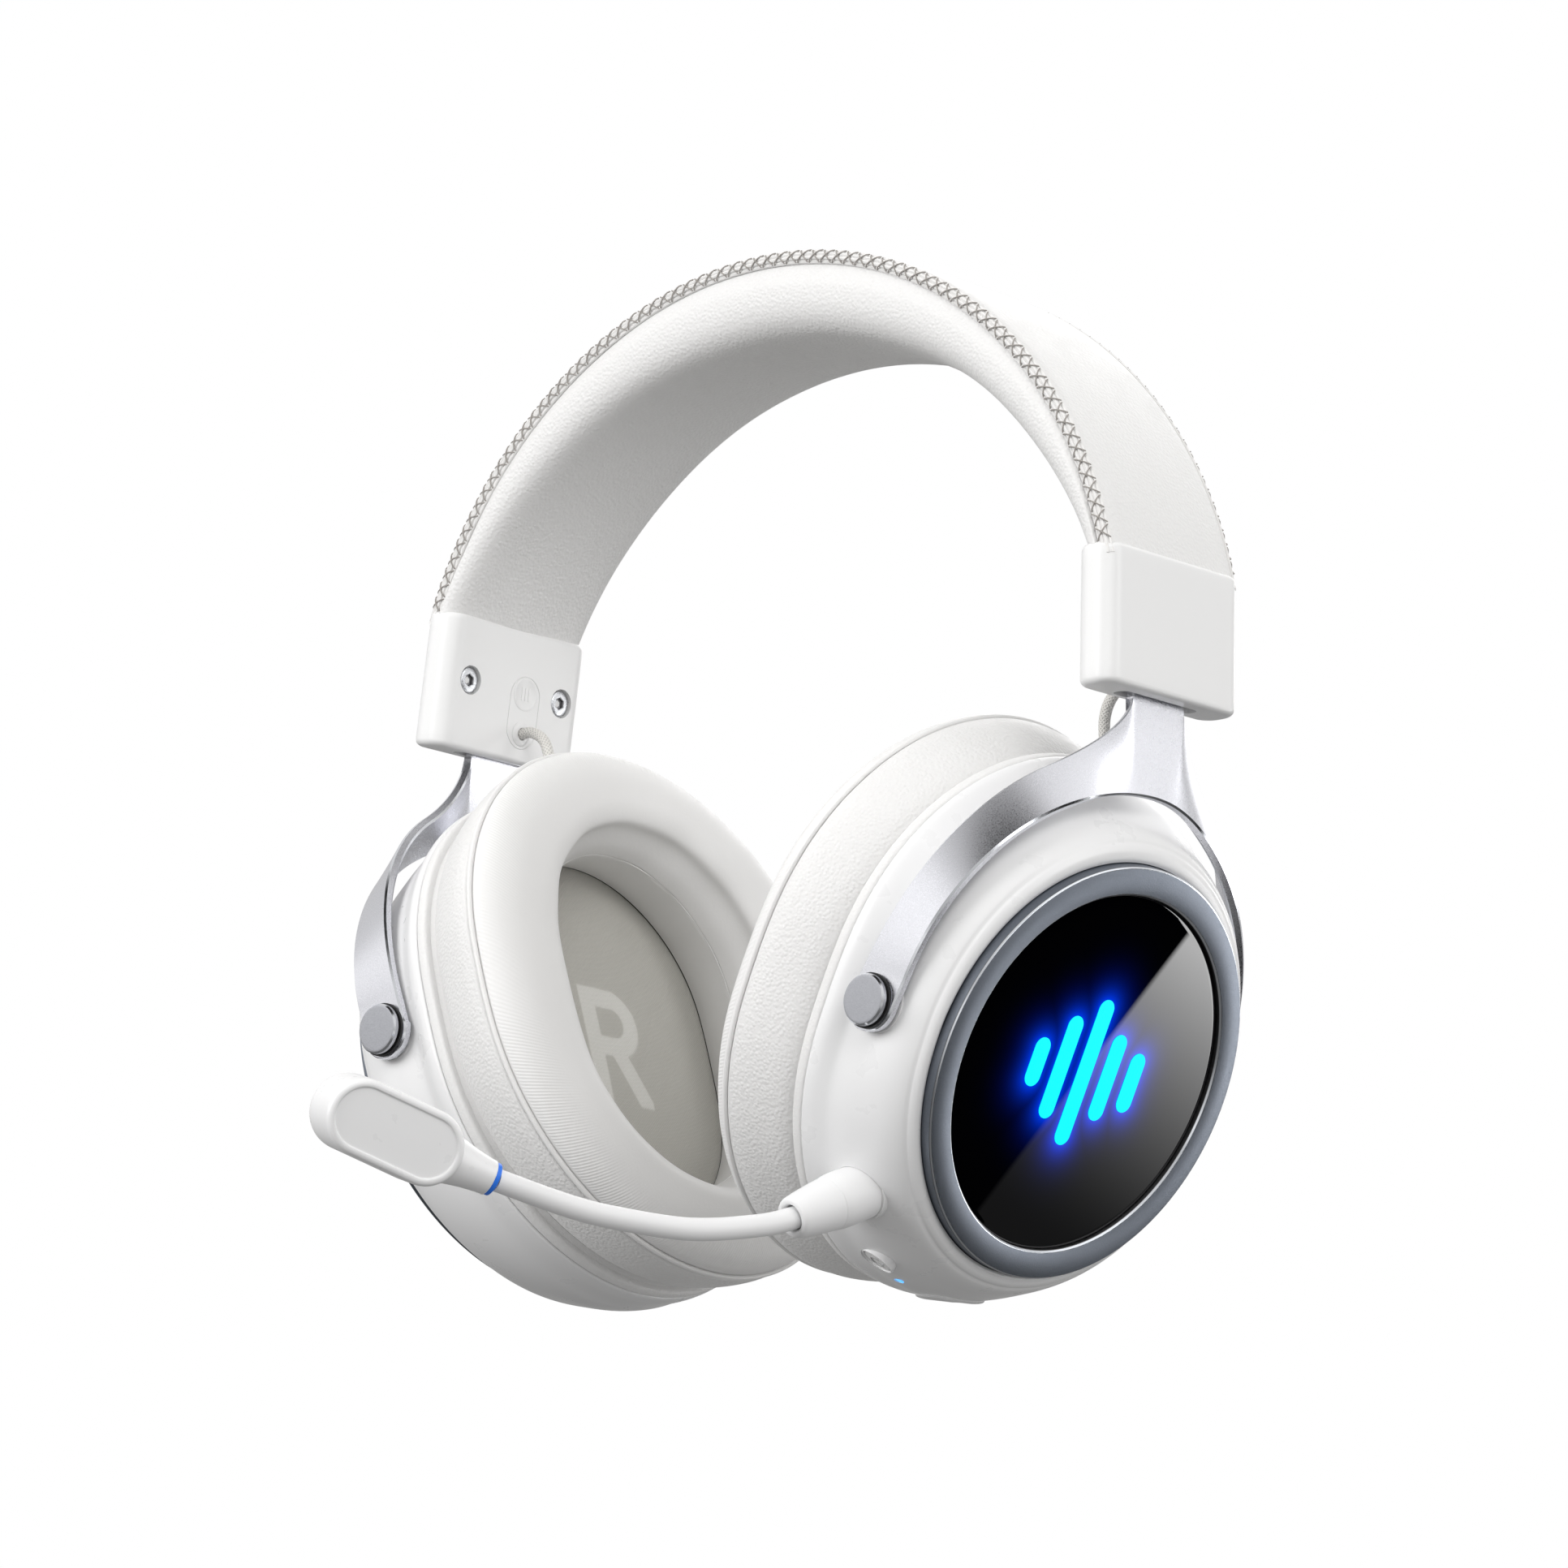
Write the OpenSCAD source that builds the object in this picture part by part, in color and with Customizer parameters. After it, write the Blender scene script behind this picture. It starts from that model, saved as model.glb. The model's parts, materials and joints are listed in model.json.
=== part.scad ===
// Wireless gaming headset: padded arched headband, two sliding metal forks,
// two tilting ear cups and an unpluggable boom microphone on the left cup.
// Millimetres. +X is the wearer's left, -Y is the front, +Z is up.
// The origin is the underside of the headband cushion, where the head bears.

/* [Headband] */
// Outer radius of the arch
arch_r = 86.6; // [84:0.2:89]
// Height of the arch centre above the cup pivots
arch_z = 56.2; // [54:0.2:58]
// Radius of the cushion's underside
under_r = 85.1; // [82:0.2:88]
// Height of the underside's centre above the cup pivots
under_z = 42.2; // [41:0.2:44]
// Width of the band from front to back
band_w = 36; // [32:0.5:40]
// Thickness of the leather cover
cover_t = 1.2; // [0.8:0.1:1.6]
// Thickness of the spring steel band
spring_t = 0.8; // [0.5:0.1:1]

/* [Slider housings] */
// Distance of a housing's centre from the middle plane
block_x = 80.1; // [78:0.1:82]
// Height of a housing's centre above the cup pivots
block_z = 69.2; // [68:0.1:71]
// Lean of a housing towards the head, degrees
block_lean = 3.8; // [2:0.1:5]
// Thickness of a housing
block_t = 8.4; // [8:0.1:9.4]
// Width of a housing from front to back
block_w = 37; // [36:0.5:39]
// Height of a housing
block_h = 25.4; // [24:0.2:27]

/* [Forks] */
// Sheet thickness of a fork
fork_t = 1.8; // [1.4:0.1:2]
// Width of a fork's stem
stem_w = 14; // [12:0.5:15]
// Radius of a fork's hoop at the pivots
hoop_r = 45.4; // [45.2:0.1:46]
// Width of a fork's arm
arm_w = 10.6; // [9:0.2:11]

/* [Cups] */
// Distance of a cup's centre from the middle plane
cup_x = 51.6; // [50:0.2:54]
// Tilt of the cups, lower ends towards each other, degrees
cup_tilt = 20.8; // [18:0.2:23]
// Half width of a cup's rim
rim_a = 45.2; // [44:0.1:45.4]
// Radius of the metal bezel ring
bezel_r = 38; // [36:0.2:38.4]
// Radius of the glass disc
glass_r = 32.6; // [30:0.2:33]
// Wall thickness of the cup shells
shell_t = 2; // [1.6:0.1:2.4]
// Half width of an ear pad
pad_a = 47.9; // [46:0.1:48.5]
// Half width of the hole in an ear pad
pad_hole = 25.9; // [23:0.1:26]
// Height of an ear pad's crown over its mounting ring
pad_h = 20; // [17:0.5:22]

/* [Microphone] */
// Radius of the boom
boom_r = 2; // [1.6:0.1:2.4]
// Length of the capsule
capsule_l = 25.6; // [24:0.1:28]
// Height of the capsule
capsule_w = 13.2; // [12:0.1:14]
// Thickness of the capsule
capsule_t = 11.9; // [10:0.1:13]

/* [Hidden] */

// Height of the cushion's underside above the cup pivots.
rest_z = under_z + under_r;

// Cup levels along the cup's outward axis.
pad_back = -6.1;        // back of the ear pad
ring_back = -5.3;       // back of the pad's mounting ring
band_back = -2.9;       // where the rim band meets the shell
rim_out = -0.9;         // outer edge of the shell's rim
lip_out = 18.5;         // outer edge of the dome
seat_u = 15.5;          // shelf that carries the bezel
glass_out = 19.9;       // outer face of the glass
bezel_out = 20.9;       // outer face of the bezel
glass_t = 2;
pivot_u = 7.5;          // cup pivot axis along the cup's outward axis
face_w = -1.9;          // the bezel's centre lies a little below the pivots
lip_r = 39.8;
oval_mid = 8.8;         // straight length of the pad's and baffle's oval
oval_drop = 0.8;        // and how far it sits below the pivots

// Fits.
run = 0.05;             // running clearance on a radius

// Fork details.
bolt_r = 2.5;
hub_r = arm_w / 2;
fork_u_out = pivot_u + arm_w / 2;
fork_u_in = pivot_u - arm_w / 2;
stem_face = 0.3;        // outer face of the stem in the housing
stem_top = 14.5;        // top of the stem above the housing's centre
head_w = 17;            // width of the stop at the stem's top
head_h = 3;
cavity_w = 31.2;
cavity_t = 5.4;

// Colours.
white = [0.93, 0.93, 0.93];
leather = [0.9, 0.89, 0.88];
steel = [0.66, 0.68, 0.72];
slate = [0.32, 0.35, 0.4];
black = [0.03, 0.03, 0.035];
cyan = [0, 0.9, 1];

// ---- places ----

module flip(side) {
    mirror([side < 0 ? 1 : 0, 0, 0]) children();
}

// The model is drawn with its zero at the cup pivots and set down by rest_z.
module placed(side) {
    translate([0, 0, -rest_z]) flip(side) children();
}

module block_space() {
    translate([block_x, 0, block_z]) rotate([0, -block_lean, 0]) children();
}

// Cup frame: X runs out of the cup's face, Y to the back, Z up along the cup.
module at_cup(side) {
    placed(side) translate([cup_x, 0, 0]) rotate([0, cup_tilt, 0]) children();
}

// Housing frame: X outwards, Y to the back, Z up along the slide.
module at_block(side) {
    placed(side) block_space() children();
}

function cup_pt(u, v, w) = [
    cup_x + u * cos(cup_tilt) + w * sin(cup_tilt),
    v,
    w * cos(cup_tilt) - u * sin(cup_tilt)];

function block_pt(o, y, k) = [
    block_x + o * cos(block_lean) - k * sin(block_lean),
    y,
    block_z + o * sin(block_lean) + k * cos(block_lean)];

// ---- shared shapes ----

// Turns children drawn in (radius, height) about the cup's axis.
module turned(w = 0) {
    translate([0, 0, w]) rotate([0, 90, 0]) rotate_extrude($fn = 96) children();
}

// Sweeps a (radius, height) profile round an oval with straight sides of length mid.
module oval_turned(mid) {
    rotate([0, 90, 0]) {
        translate([oval_drop - mid / 2, 0, 0]) {
            rotate_extrude(angle = 180, start = 90, $fn = 96) children();
        }
        translate([oval_drop + mid / 2, 0, 0]) {
            rotate_extrude(angle = 180, start = -90, $fn = 96) children();
        }
        for (turn = [0, 180]) {
            translate([oval_drop, 0, 0]) rotate([0, 0, turn]) translate([-mid / 2, 0, 0]) {
                rotate([90, 0, 90]) linear_extrude(mid) children();
            }
        }
    }
}

// An oval plate from radius hole to radius r between two levels.
module oval_plate(mid, hole, r, from, to) {
    oval_turned(mid) translate([hole, from]) square([r - hole, to - from]);
}

// A thin oval slice of a dome: half width a, top and bottom reach.
module dome_slice(u, a, top, bottom, fine) {
    for (w = [top - a, a - bottom]) {
        translate([u, 0, w]) rotate([0, 90, 0]) cylinder(r = a, h = 0.02, $fn = fine);
    }
}

// Solid dome, drawn in by inset for the hollow inside it.
module dome(inset, base, fine) {
    levels = [[base, 43, 48.2, 50.4], [5, 43, 46.6, 49.6], [9, 42.9, 44.9, 48.2],
        [13, 42.7, 42.9, 46.1], [16.5, 41.8, 40.9, 44], [lip_out - 0.02, lip_r, 38.2, 42]];
    hull() {
        for (s = levels) {
            dome_slice(s[0] - inset / 2, s[1] - inset, s[2] - inset, s[3] - inset, fine);
        }
    }
}

module rim(inset, from, to, fine) {
    hull() {
        for (u = [from, to - 0.02]) {
            dome_slice(u, rim_a - inset, 49.5 - inset, 50.8 - inset, fine);
        }
    }
}

module rounded_rect(w, h, r) {
    square([w - 2 * r, h], center = true);
    square([w, h - 2 * r], center = true);
    for (x = [-1, 1], y = [-1, 1]) {
        translate([x * (w / 2 - r), y * (h / 2 - r)]) circle(r = r, $fn = 48);
    }
}

// ---- swept tubes ----

function unit(v) = v / norm(v);

function spline(a, b, c, d, t) = 0.5 * (2 * b + (c - a) * t
    + (2 * a - 5 * b + 4 * c - d) * t * t + (3 * b - a - 3 * c + d) * t * t * t);

// Points along a smooth curve through a route, steps to each stretch.
function smooth_route(p, steps) = concat(
    [for (i = [0 : len(p) - 2], k = [0 : steps - 1])
        spline(p[max(i - 1, 0)], p[i], p[i + 1], p[min(i + 2, len(p) - 1)], k / steps)],
    [p[len(p) - 1]]);

function heading(p, i) = unit(p[min(i + 1, len(p) - 1)] - p[max(i - 1, 0)]);

function ring_point(p, i, up, r, angle) =
    let (t = heading(p, i), s = unit(cross(t, up)), n = cross(s, t))
    p[i] + r * (cos(angle) * s + sin(angle) * n);

module tube(route, r, up, sides) {
    last = len(route) - 1;
    points = [for (i = [0 : last], k = [0 : sides - 1])
        ring_point(route, i, up, r, 360 * k / sides)];
    walls = [for (i = [0 : last - 1], k = [0 : sides - 1])
        [i * sides + (k + 1) % sides, (i + 1) * sides + (k + 1) % sides,
            (i + 1) * sides + k, i * sides + k]];
    ends = [[for (k = [sides - 1 : -1 : 0]) k],
        [for (k = [0 : sides - 1]) last * sides + k]];
    polyhedron(points, concat(walls, ends));
}

// ---- headband ----

// The region above both housings' top faces.
module above_housings() {
    difference() {
        translate([-120, 60]) square([240, 120]);
        for (side = [0, 1]) {
            mirror([side, 0]) translate([block_x, block_z]) rotate(block_lean) {
                translate([-40, -60]) square([80, 60 + block_h / 2]);
            }
        }
    }
}

module across(width) {
    rotate([90, 0, 0]) translate([0, 0, -width / 2]) linear_extrude(width) children();
}

module arch_profile(r_out, r_in) {
    difference() {
        translate([0, arch_z]) circle(r = r_out, $fn = 180);
        translate([0, arch_z]) circle(r = r_in, $fn = 180);
    }
}

module headband_cover() {
    color(leather) placed(1) across(band_w) intersection() {
        arch_profile(arch_r, arch_r - cover_t);
        above_housings();
    }
}

module headband_cushion() {
    color(leather) placed(1) difference() {
        across(band_w) intersection() {
            difference() {
                translate([0, arch_z]) circle(r = arch_r - cover_t, $fn = 180);
                translate([0, under_z]) circle(r = under_r, $fn = 180);
            }
            above_housings();
        }
        // channel for the spring band
        across(spring_w + 0.6) arch_profile(arch_r - cover_t + 1, arch_r - cover_t - spring_t - 0.1);
        // pockets that the fork stems retract into
        for (side = [-1, 1]) {
            flip(side) block_space() {
                translate([-2.4, -head_w / 2 - 1, 8]) cube([3.6, head_w + 2, stem_top - 6]);
            }
        }
    }
}

spring_w = band_w - 16;
spring_o = 1.75;       // inner face of the spring's straight ends in a housing

module headband_spring() {
    color(steel) placed(1) {
        across(spring_w) intersection() {
            arch_profile(arch_r - cover_t - 0.05, arch_r - cover_t - 0.05 - spring_t);
            above_housings();
        }
        for (side = [-1, 1]) {
            flip(side) block_space() difference() {
                translate([spring_o, -spring_w / 2, -6]) cube([spring_t, spring_w, 17.6]);
                for (y = [-6, 6]) {
                    translate([0, y, -2]) rotate([0, 90, 0]) cylinder(r = 1.6, h = 6, $fn = 32);
                }
            }
        }
    }
}

// ---- slider housings ----

cable_y = 2.6;         // cable outlet and badge are set a little to the back
cable_k = -7;
badge_k = 0.6;
screw_y = 12.4;
screw_k = 0.6;
cover_o = -block_t / 2 + 1.5;   // inner cover is 1.5 thick

module slider_housing(side) {
    color(white) at_block(side) difference() {
        intersection() {
            linear_extrude(block_h, center = true) rounded_rect(block_t, block_w, 3.4);
            translate([cover_o, -block_w, -block_h]) cube([block_t, 2 * block_w, 2 * block_h]);
        }
        // hollow, open at the top for the band
        translate([cover_o - 1, -cavity_w / 2, -block_h / 2 + 1.5]) {
            cube([cavity_t + 1, cavity_w, block_h]);
        }
        // slot for the stem
        translate([-2.3, -stem_w / 2 - 2, -block_h / 2 - 1]) cube([3.4, stem_w + 4, 4]);
        for (y = [-screw_y, screw_y]) {
            translate([-5, y, screw_k]) rotate([0, 90, 0]) cylinder(r = 1.05, h = 8.2, $fn = 32);
        }
    }
    // screw pillars and the spring's pegs
    color(white) at_block(side) {
        for (y = [-screw_y, screw_y]) {
            translate([cover_o, y, screw_k]) rotate([0, 90, 0]) difference() {
                cylinder(r = 2.2, h = cavity_t + 0.4, $fn = 32);
                translate([0, 0, -1]) cylinder(r = 1.05, h = 5.5, $fn = 32);
            }
        }
        for (y = [-6, 6]) {
            translate([1.9, y, -2]) rotate([0, 90, 0]) cylinder(r = 1.5, h = 1.5, $fn = 32);
        }
    }
}

module slider_cover(side) {
    color(white) at_block(side) difference() {
        intersection() {
            linear_extrude(block_h, center = true) rounded_rect(block_t, block_w, 3.4);
            translate([-block_t, -block_w, -block_h]) {
                cube([block_t + cover_o, 2 * block_w, 2 * block_h]);
            }
        }
        for (y = [-screw_y, screw_y]) {
            translate([-5, y, screw_k]) rotate([0, 90, 0]) {
                cylinder(r = 1.3, h = 4, $fn = 32);
                cylinder(r = 2.7, h = 1.95, $fn = 48);
            }
        }
        translate([-5, cable_y, cable_k]) rotate([0, 90, 0]) cylinder(r = 1.9, h = 4, $fn = 48);
        // shallow seat of the badge
        translate([-5, cable_y, badge_k]) rotate([0, 90, 0]) cylinder(r = 3.15, h = 1.1, $fn = 48);
    }
}

// Channel that guides the stem, with a lip at its foot that stops the stem's head.
module slider_guide(side) {
    foot = -block_h / 2 + 1.6;
    height = 20;
    color([0.75, 0.75, 0.75]) at_block(side) difference() {
        translate([-2.6, -10.1, foot]) cube([3.6, 20.2, height]);
        translate([stem_face - fork_t - 0.15, -head_w / 2 - 0.2, foot + 1.5]) {
            cube([fork_t + 0.3, head_w + 0.4, height]);
        }
        translate([stem_face - fork_t - 0.15, -stem_w / 2 - 0.15, foot - 1]) {
            cube([fork_t + 0.3, stem_w + 0.3, height]);
        }
        // way out for the cable
        translate([-3, cable_y, cable_k]) rotate([0, 90, 0]) cylinder(r = 2.5, h = 1.4, $fn = 48);
    }
}

module slider_screws(side) {
    color(steel) at_block(side) for (y = [-screw_y, screw_y]) {
        translate([0, y, screw_k]) rotate([0, 90, 0]) difference() {
            union() {
                translate([0, 0, -3.75]) cylinder(r = 2.2, h = 0.7, $fn = 48);
                translate([0, 0, -3.1]) cylinder(r = 1, h = 4.4, $fn = 32);
            }
            translate([0, 0, -4]) cylinder(r = 1.3, h = 0.9, $fn = 6);
        }
    }
}

module cable_grommet(side) {
    color(leather) at_block(side) translate([0, cable_y, cable_k]) rotate([0, 90, 0]) {
        translate([0, 0, -4.35]) difference() {
            union() {
                cylinder(r = 1.85, h = 1.9, $fn = 48);
                cylinder(r = 2.3, h = 0.14, $fn = 48);
            }
            translate([0, 0, -1]) cylinder(r = 1.15, h = 4, $fn = 48);
        }
    }
}

module badge_ring(side) {
    color(white) at_block(side) translate([-3.85, cable_y, badge_k]) rotate([0, 90, 0]) {
        translate([0, 0, -0.25]) difference() {
            cylinder(r = 3.1, h = 0.2, $fn = 48);
            translate([0, 0, -1]) cylinder(r = 2.2, h = 3, $fn = 48);
        }
    }
}

// ---- side cables: from the housing, down the inside of the fork, into the cup ----

cable_r = 1.05;
// Points of the left cable, above and below the place where it rides on the fork.
upper_route = [[76.6, 2.6, 61.9], [73.5, 2.6, 62], [70.3, 2.4, 60.5], [68.3, 2, 57.8], [67.6, 1.8, 54.8]];
lower_route = [[67.6, 1.8, 54.6], [67.8, 1.8, 51.5], [68.4, 2, 48.5], [69, 2.4, 44.8]];

module side_cable(side, route) {
    color([0.8, 0.78, 0.74]) placed(side) tube(smooth_route(route, 4), cable_r, [0, 1, 0], 8);
}

// ---- forks ----

// Outer (face side) edge of the sheet at an angle from the hoop's top, negative to the front.
function edge_a(phi) =
    let (c = max(cos(phi) - 0.12, 0) / 0.88,
        r = hoop_r + (phi < 0 ? 1.9 * (1 - pow(1 - c, 3)) : 1.9 * pow(c, 10)))
    cup_pt(fork_u_out + 1.5 * cos(phi), r * sin(phi), r * cos(phi));

stem_phi = 5;          // the stem's plate runs down to this angle of the hoop
root_phi = 26;         // where the arm leaves the stem's fillet
stem_low = -13;        // foot of the straight stem in the housing frame

function edge_b_arm(phi) =
    let (c = max(cos(phi), 0), r = hoop_r + 9 * pow(max(c - 0.06, 0), 1.5))
    [fork_u_in + 0.3 + 4.4 * c + 1.2 * pow(c, 3), r * sin(phi), r * cos(phi)];

function arm_pt(phi) = let (b = edge_b_arm(phi)) cup_pt(b[0], b[1], b[2]);

function bezier(a, b, c, d, t) = a * pow(1 - t, 3) + 3 * b * pow(1 - t, 2) * t
    + 3 * c * (1 - t) * t * t + d * t * t * t;

// Along the stem's foot, just inside its face, from one side (-1) to the other (1).
function foot_pt(side) = block_pt(stem_face - 0.05, side * (stem_w / 2 - 0.05), stem_low);

// The fillet's curve from the stem's side (f = 0) to the arm (f = 1).
function fillet_pt(side, f) =
    let (
        top = foot_pt(side),
        drop = top + [0.3, side * 0.3, -5],
        end = arm_pt(side * root_phi),
        back = unit(arm_pt(side * (root_phi - 1)) - end) * 9)
    bezier(top, drop, end + back, end, f);

// Inner (pad side) edge: the stem's foot, the fillet, then the arm.
function edge_b(phi) =
    abs(phi) <= stem_phi ? foot_pt(phi / stem_phi)
        : abs(phi) < root_phi
            ? fillet_pt(sign(phi), (abs(phi) - stem_phi) / (root_phi - stem_phi))
            : arm_pt(phi);

function hoop_run(phi) = let (c = cup_pt(0, cos(phi), -sin(phi)), o = cup_pt(0, 0, 0)) c - o;

function sheet_section(phi) =
    let (a = edge_a(phi), b = edge_b(phi), n = unit(cross(hoop_run(phi), b - a)) * fork_t)
    [a, b, b - n, a - n];

half_angles = concat([for (p = [stem_phi : 2.3 : root_phi - 1]) p],
    [for (p = [root_phi : 6.2 : 85]) p], [90]);
fork_angles = concat([for (i = [len(half_angles) - 1 : -1 : 0]) -half_angles[i]],
    [-2.5, 0, 2.5], half_angles);

module fork_sheet() {
    sections = [for (p = fork_angles) sheet_section(p)];
    last = len(sections) - 1;
    points = [for (s = sections, q = s) q];
    walls = [for (i = [0 : last - 1], k = [0 : 3], half = [0, 1])
        half == 0
            ? [i * 4 + k, i * 4 + (k + 1) % 4, (i + 1) * 4 + k]
            : [i * 4 + (k + 1) % 4, (i + 1) * 4 + (k + 1) % 4, (i + 1) * 4 + k]];
    ends = [[3, 2, 1, 0], [for (k = [0 : 3]) last * 4 + k]];
    polyhedron(points, concat(walls, ends));
}

module fork_hubs(r, from, to) {
    translate([cup_x, 0, 0]) rotate([0, cup_tilt, 0]) for (turn = [0, 180]) {
        rotate([turn, 0, 0]) translate([pivot_u, from, 0]) {
            rotate([-90, 0, 0]) cylinder(r = r, h = to - from, $fn = 64);
        }
    }
}

module fork(side) {
    color(steel) placed(side) difference() {
        union() {
            fork_sheet();
            fork_hubs(hub_r + 0.06, hoop_r - fork_t - 0.03, hoop_r + 0.03);
            block_space() {
                translate([stem_face - fork_t, -stem_w / 2, stem_low - 0.6]) {
                    cube([fork_t, stem_w, stem_top - stem_low + 0.6]);
                }
                translate([stem_face - fork_t, -head_w / 2, stem_top - head_h]) {
                    cube([fork_t, head_w, head_h]);
                }
            }
        }
        fork_hubs(bolt_r + run, hoop_r - 6, hoop_r + 6);
    }
}

bolt_in = 40.6;        // inner end of a pivot bolt from the cup's middle

module pivot_bolts(side) {
    color([0.45, 0.47, 0.5]) at_cup(side) for (turn = [0, 180]) {
        rotate([turn, 0, 0]) translate([pivot_u, 0, 0]) rotate([-90, 0, 0]) {
            translate([0, 0, bolt_in]) cylinder(r = bolt_r, h = hoop_r + 0.7 - bolt_in, $fn = 64);
            translate([0, 0, hoop_r + 0.6]) cylinder(r = 4.3, h = 0.3, $fn = 64);
            translate([0, 0, hoop_r + 0.9]) cylinder(r = 4.6, h = 1.1, $fn = 64);
        }
    }
}

module pivot_washers(side) {
    // [distance from the cup's middle, radius, thickness] inside and outside the fork
    color(black) at_cup(side) for (turn = [0, 180],
        ring = [[hoop_r - fork_t - 0.55, 4.1, 0.3], [hoop_r + 0.1, 4.9, 0.5]]) {
        rotate([turn, 0, 0]) translate([pivot_u, ring[0], 0]) rotate([-90, 0, 0]) difference() {
            cylinder(r = ring[1], h = ring[2], $fn = 64);
            translate([0, 0, -1]) cylinder(r = bolt_r + run, h = 3, $fn = 64);
        }
    }
}

// ---- cups ----

mic_u = 8.3;
mic_v = -33.6;
mic_w = -33.5;
mic_turn = -98.7;      // compass direction that the plug leaves in
mic_dip = 24;          // and how far it points down

// Microphone frame: X runs out of the cup along the plug.
module at_mic() {
    p = cup_pt(mic_u, mic_v, mic_w);
    placed(1) translate(p) rotate([0, mic_dip, mic_turn]) children();
}

// Controls on the left cup's wall: angles from straight down, positive to the back.
button_u = 6;
button_turn = -26;
led_turn = -16;
port_turn = 3;
wheel_turn = 52;

// Places something on the cup's wall, X out of it, at an angle from straight down.
module at_wall(side, u, turn, reach) {
    at_cup(side) translate([u, 0, -5]) rotate([turn, 0, 0]) translate([0, 0, -reach]) {
        rotate([0, 90, 0]) children();
    }
}

module cup_shell(side) {
    color(white) difference() {
        at_cup(side) difference() {
            union() {
                dome(0, -1.5, 72);
                rim(0, band_back, rim_out, 72);
                for (turn = [0, 180]) {
                    rotate([turn, 0, 0]) translate([pivot_u, 36, 0]) {
                        rotate([-90, 0, 0]) cylinder(r = 5.2, h = hoop_r - fork_t - 0.6 - 36, $fn = 64);
                    }
                }
            }
            difference() {
                dome(shell_t, band_back - 1, 64);
                // bosses for the pivot bolts
                for (turn = [0, 180]) {
                    rotate([turn, 0, 0]) translate([pivot_u, 36, 0]) {
                        rotate([-90, 0, 0]) cylinder(r = 5.2, h = 8, $fn = 64);
                    }
                }
                // shelf for the bezel
                translate([seat_u - 1.5, 0, face_w]) rotate([0, 90, 0]) cylinder(r = 50, h = 8, $fn = 64);
            }
            translate([seat_u, 0, face_w]) rotate([0, 90, 0]) {
                cylinder(r = bezel_r + 0.25, h = 8, $fn = 128);
            }
            translate([seat_u - 4, 0, face_w]) rotate([0, 90, 0]) {
                cylinder(r = bezel_r - 3.4, h = 8, $fn = 128);
            }
            for (turn = [0, 180]) {
                rotate([turn, 0, 0]) translate([pivot_u, bolt_in, 0]) {
                    rotate([-90, 0, 0]) cylinder(r = bolt_r + run, h = 8, $fn = 64);
                }
            }
        }
        // where the side cable goes in
        placed(side) translate(lower_route[3]) rotate([0, 20, 0]) {
            translate([0, 0, -5]) cylinder(r = 2, h = 8, $fn = 32);
        }
        if (side > 0) left_openings();
    }
    if (side > 0) color(white) wheel_bracket();
}

module left_openings() {
    at_mic() translate([-9, 0, 0]) rotate([0, 90, 0]) cylinder(r = 5.4, h = 16, $fn = 64);
    at_wall(1, button_u, button_turn, 36) rotate([0, 90, 0]) cylinder(r = 2.9, h = 12, $fn = 48);
    at_wall(1, button_u, led_turn, 36) rotate([0, 90, 0]) cylinder(r = 0.9, h = 12, $fn = 32);
    at_wall(1, button_u, port_turn, 36) translate([0, -4.6, -1.7]) cube([12, 9.2, 3.4]);
    at_wall(1, button_u, wheel_turn, 36) translate([0, -6.6, -1.8]) cube([12, 13.2, 3.6]);
}

wheel_r = 8;
wheel_at = 36.8;       // the wheel's centre from the middle of the cup's wall circle

// Bracket and pin that carry the volume wheel inside the left cup.
module wheel_bracket() {
    at_wall(1, button_u, wheel_turn, wheel_at) {
        cylinder(r = 1.5, h = 7, center = true, $fn = 48);
        for (z = [-3.4, 2.2]) {
            translate([-2.2, -2.2, z]) cube([8, 4.4, 1.2]);
        }
    }
}

module bezel_ring(side) {
    bevel = 0.7;
    inner = glass_r + 0.2;
    color(slate) at_cup(side) turned(face_w) polygon([
        [inner, bezel_out - bevel], [inner + bevel, bezel_out], [bezel_r - bevel, bezel_out],
        [bezel_r, bezel_out - bevel], [bezel_r, seat_u], [bezel_r - 2, seat_u],
        [bezel_r - 2, glass_out - glass_t - 1], [glass_r - 1.6, glass_out - glass_t - 1],
        [glass_r - 1.6, glass_out - glass_t], [inner, glass_out - glass_t]]);
}

// Five upright bars of a sound meter, for the backlit mark on the glass.
mark_heights = [9, 19, 27, 16, 11];
mark_bar = 3.8;
mark_pitch = 6.4;
mark_depth = 1;

module mark_bars(grow) {
    for (i = [0 : len(mark_heights) - 1]) {
        straight = mark_heights[i] - mark_bar;
        translate([0, (i - 2) * mark_pitch, 0]) {
            cube([mark_depth, mark_bar + 2 * grow, straight], center = true);
            for (w = [-straight / 2, straight / 2]) {
                translate([0, 0, w]) rotate([0, 90, 0]) {
                    cylinder(r = mark_bar / 2 + grow, h = mark_depth, center = true, $fn = 32);
                }
            }
        }
    }
}

module face_glass(side) {
    color(black) at_cup(side) translate([0, 0, face_w]) difference() {
        translate([glass_out - glass_t, 0, 0]) rotate([0, 90, 0]) {
            cylinder(r = glass_r, h = glass_t, $fn = 128);
        }
        translate([glass_out - mark_depth / 2 + 0.05, 0, 0]) mark_bars(0.05);
    }
}

module light_mark(side) {
    color(cyan) at_cup(side) translate([glass_out - mark_depth / 2 + 0.1, 0, face_w]) mark_bars(0);
}

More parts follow.
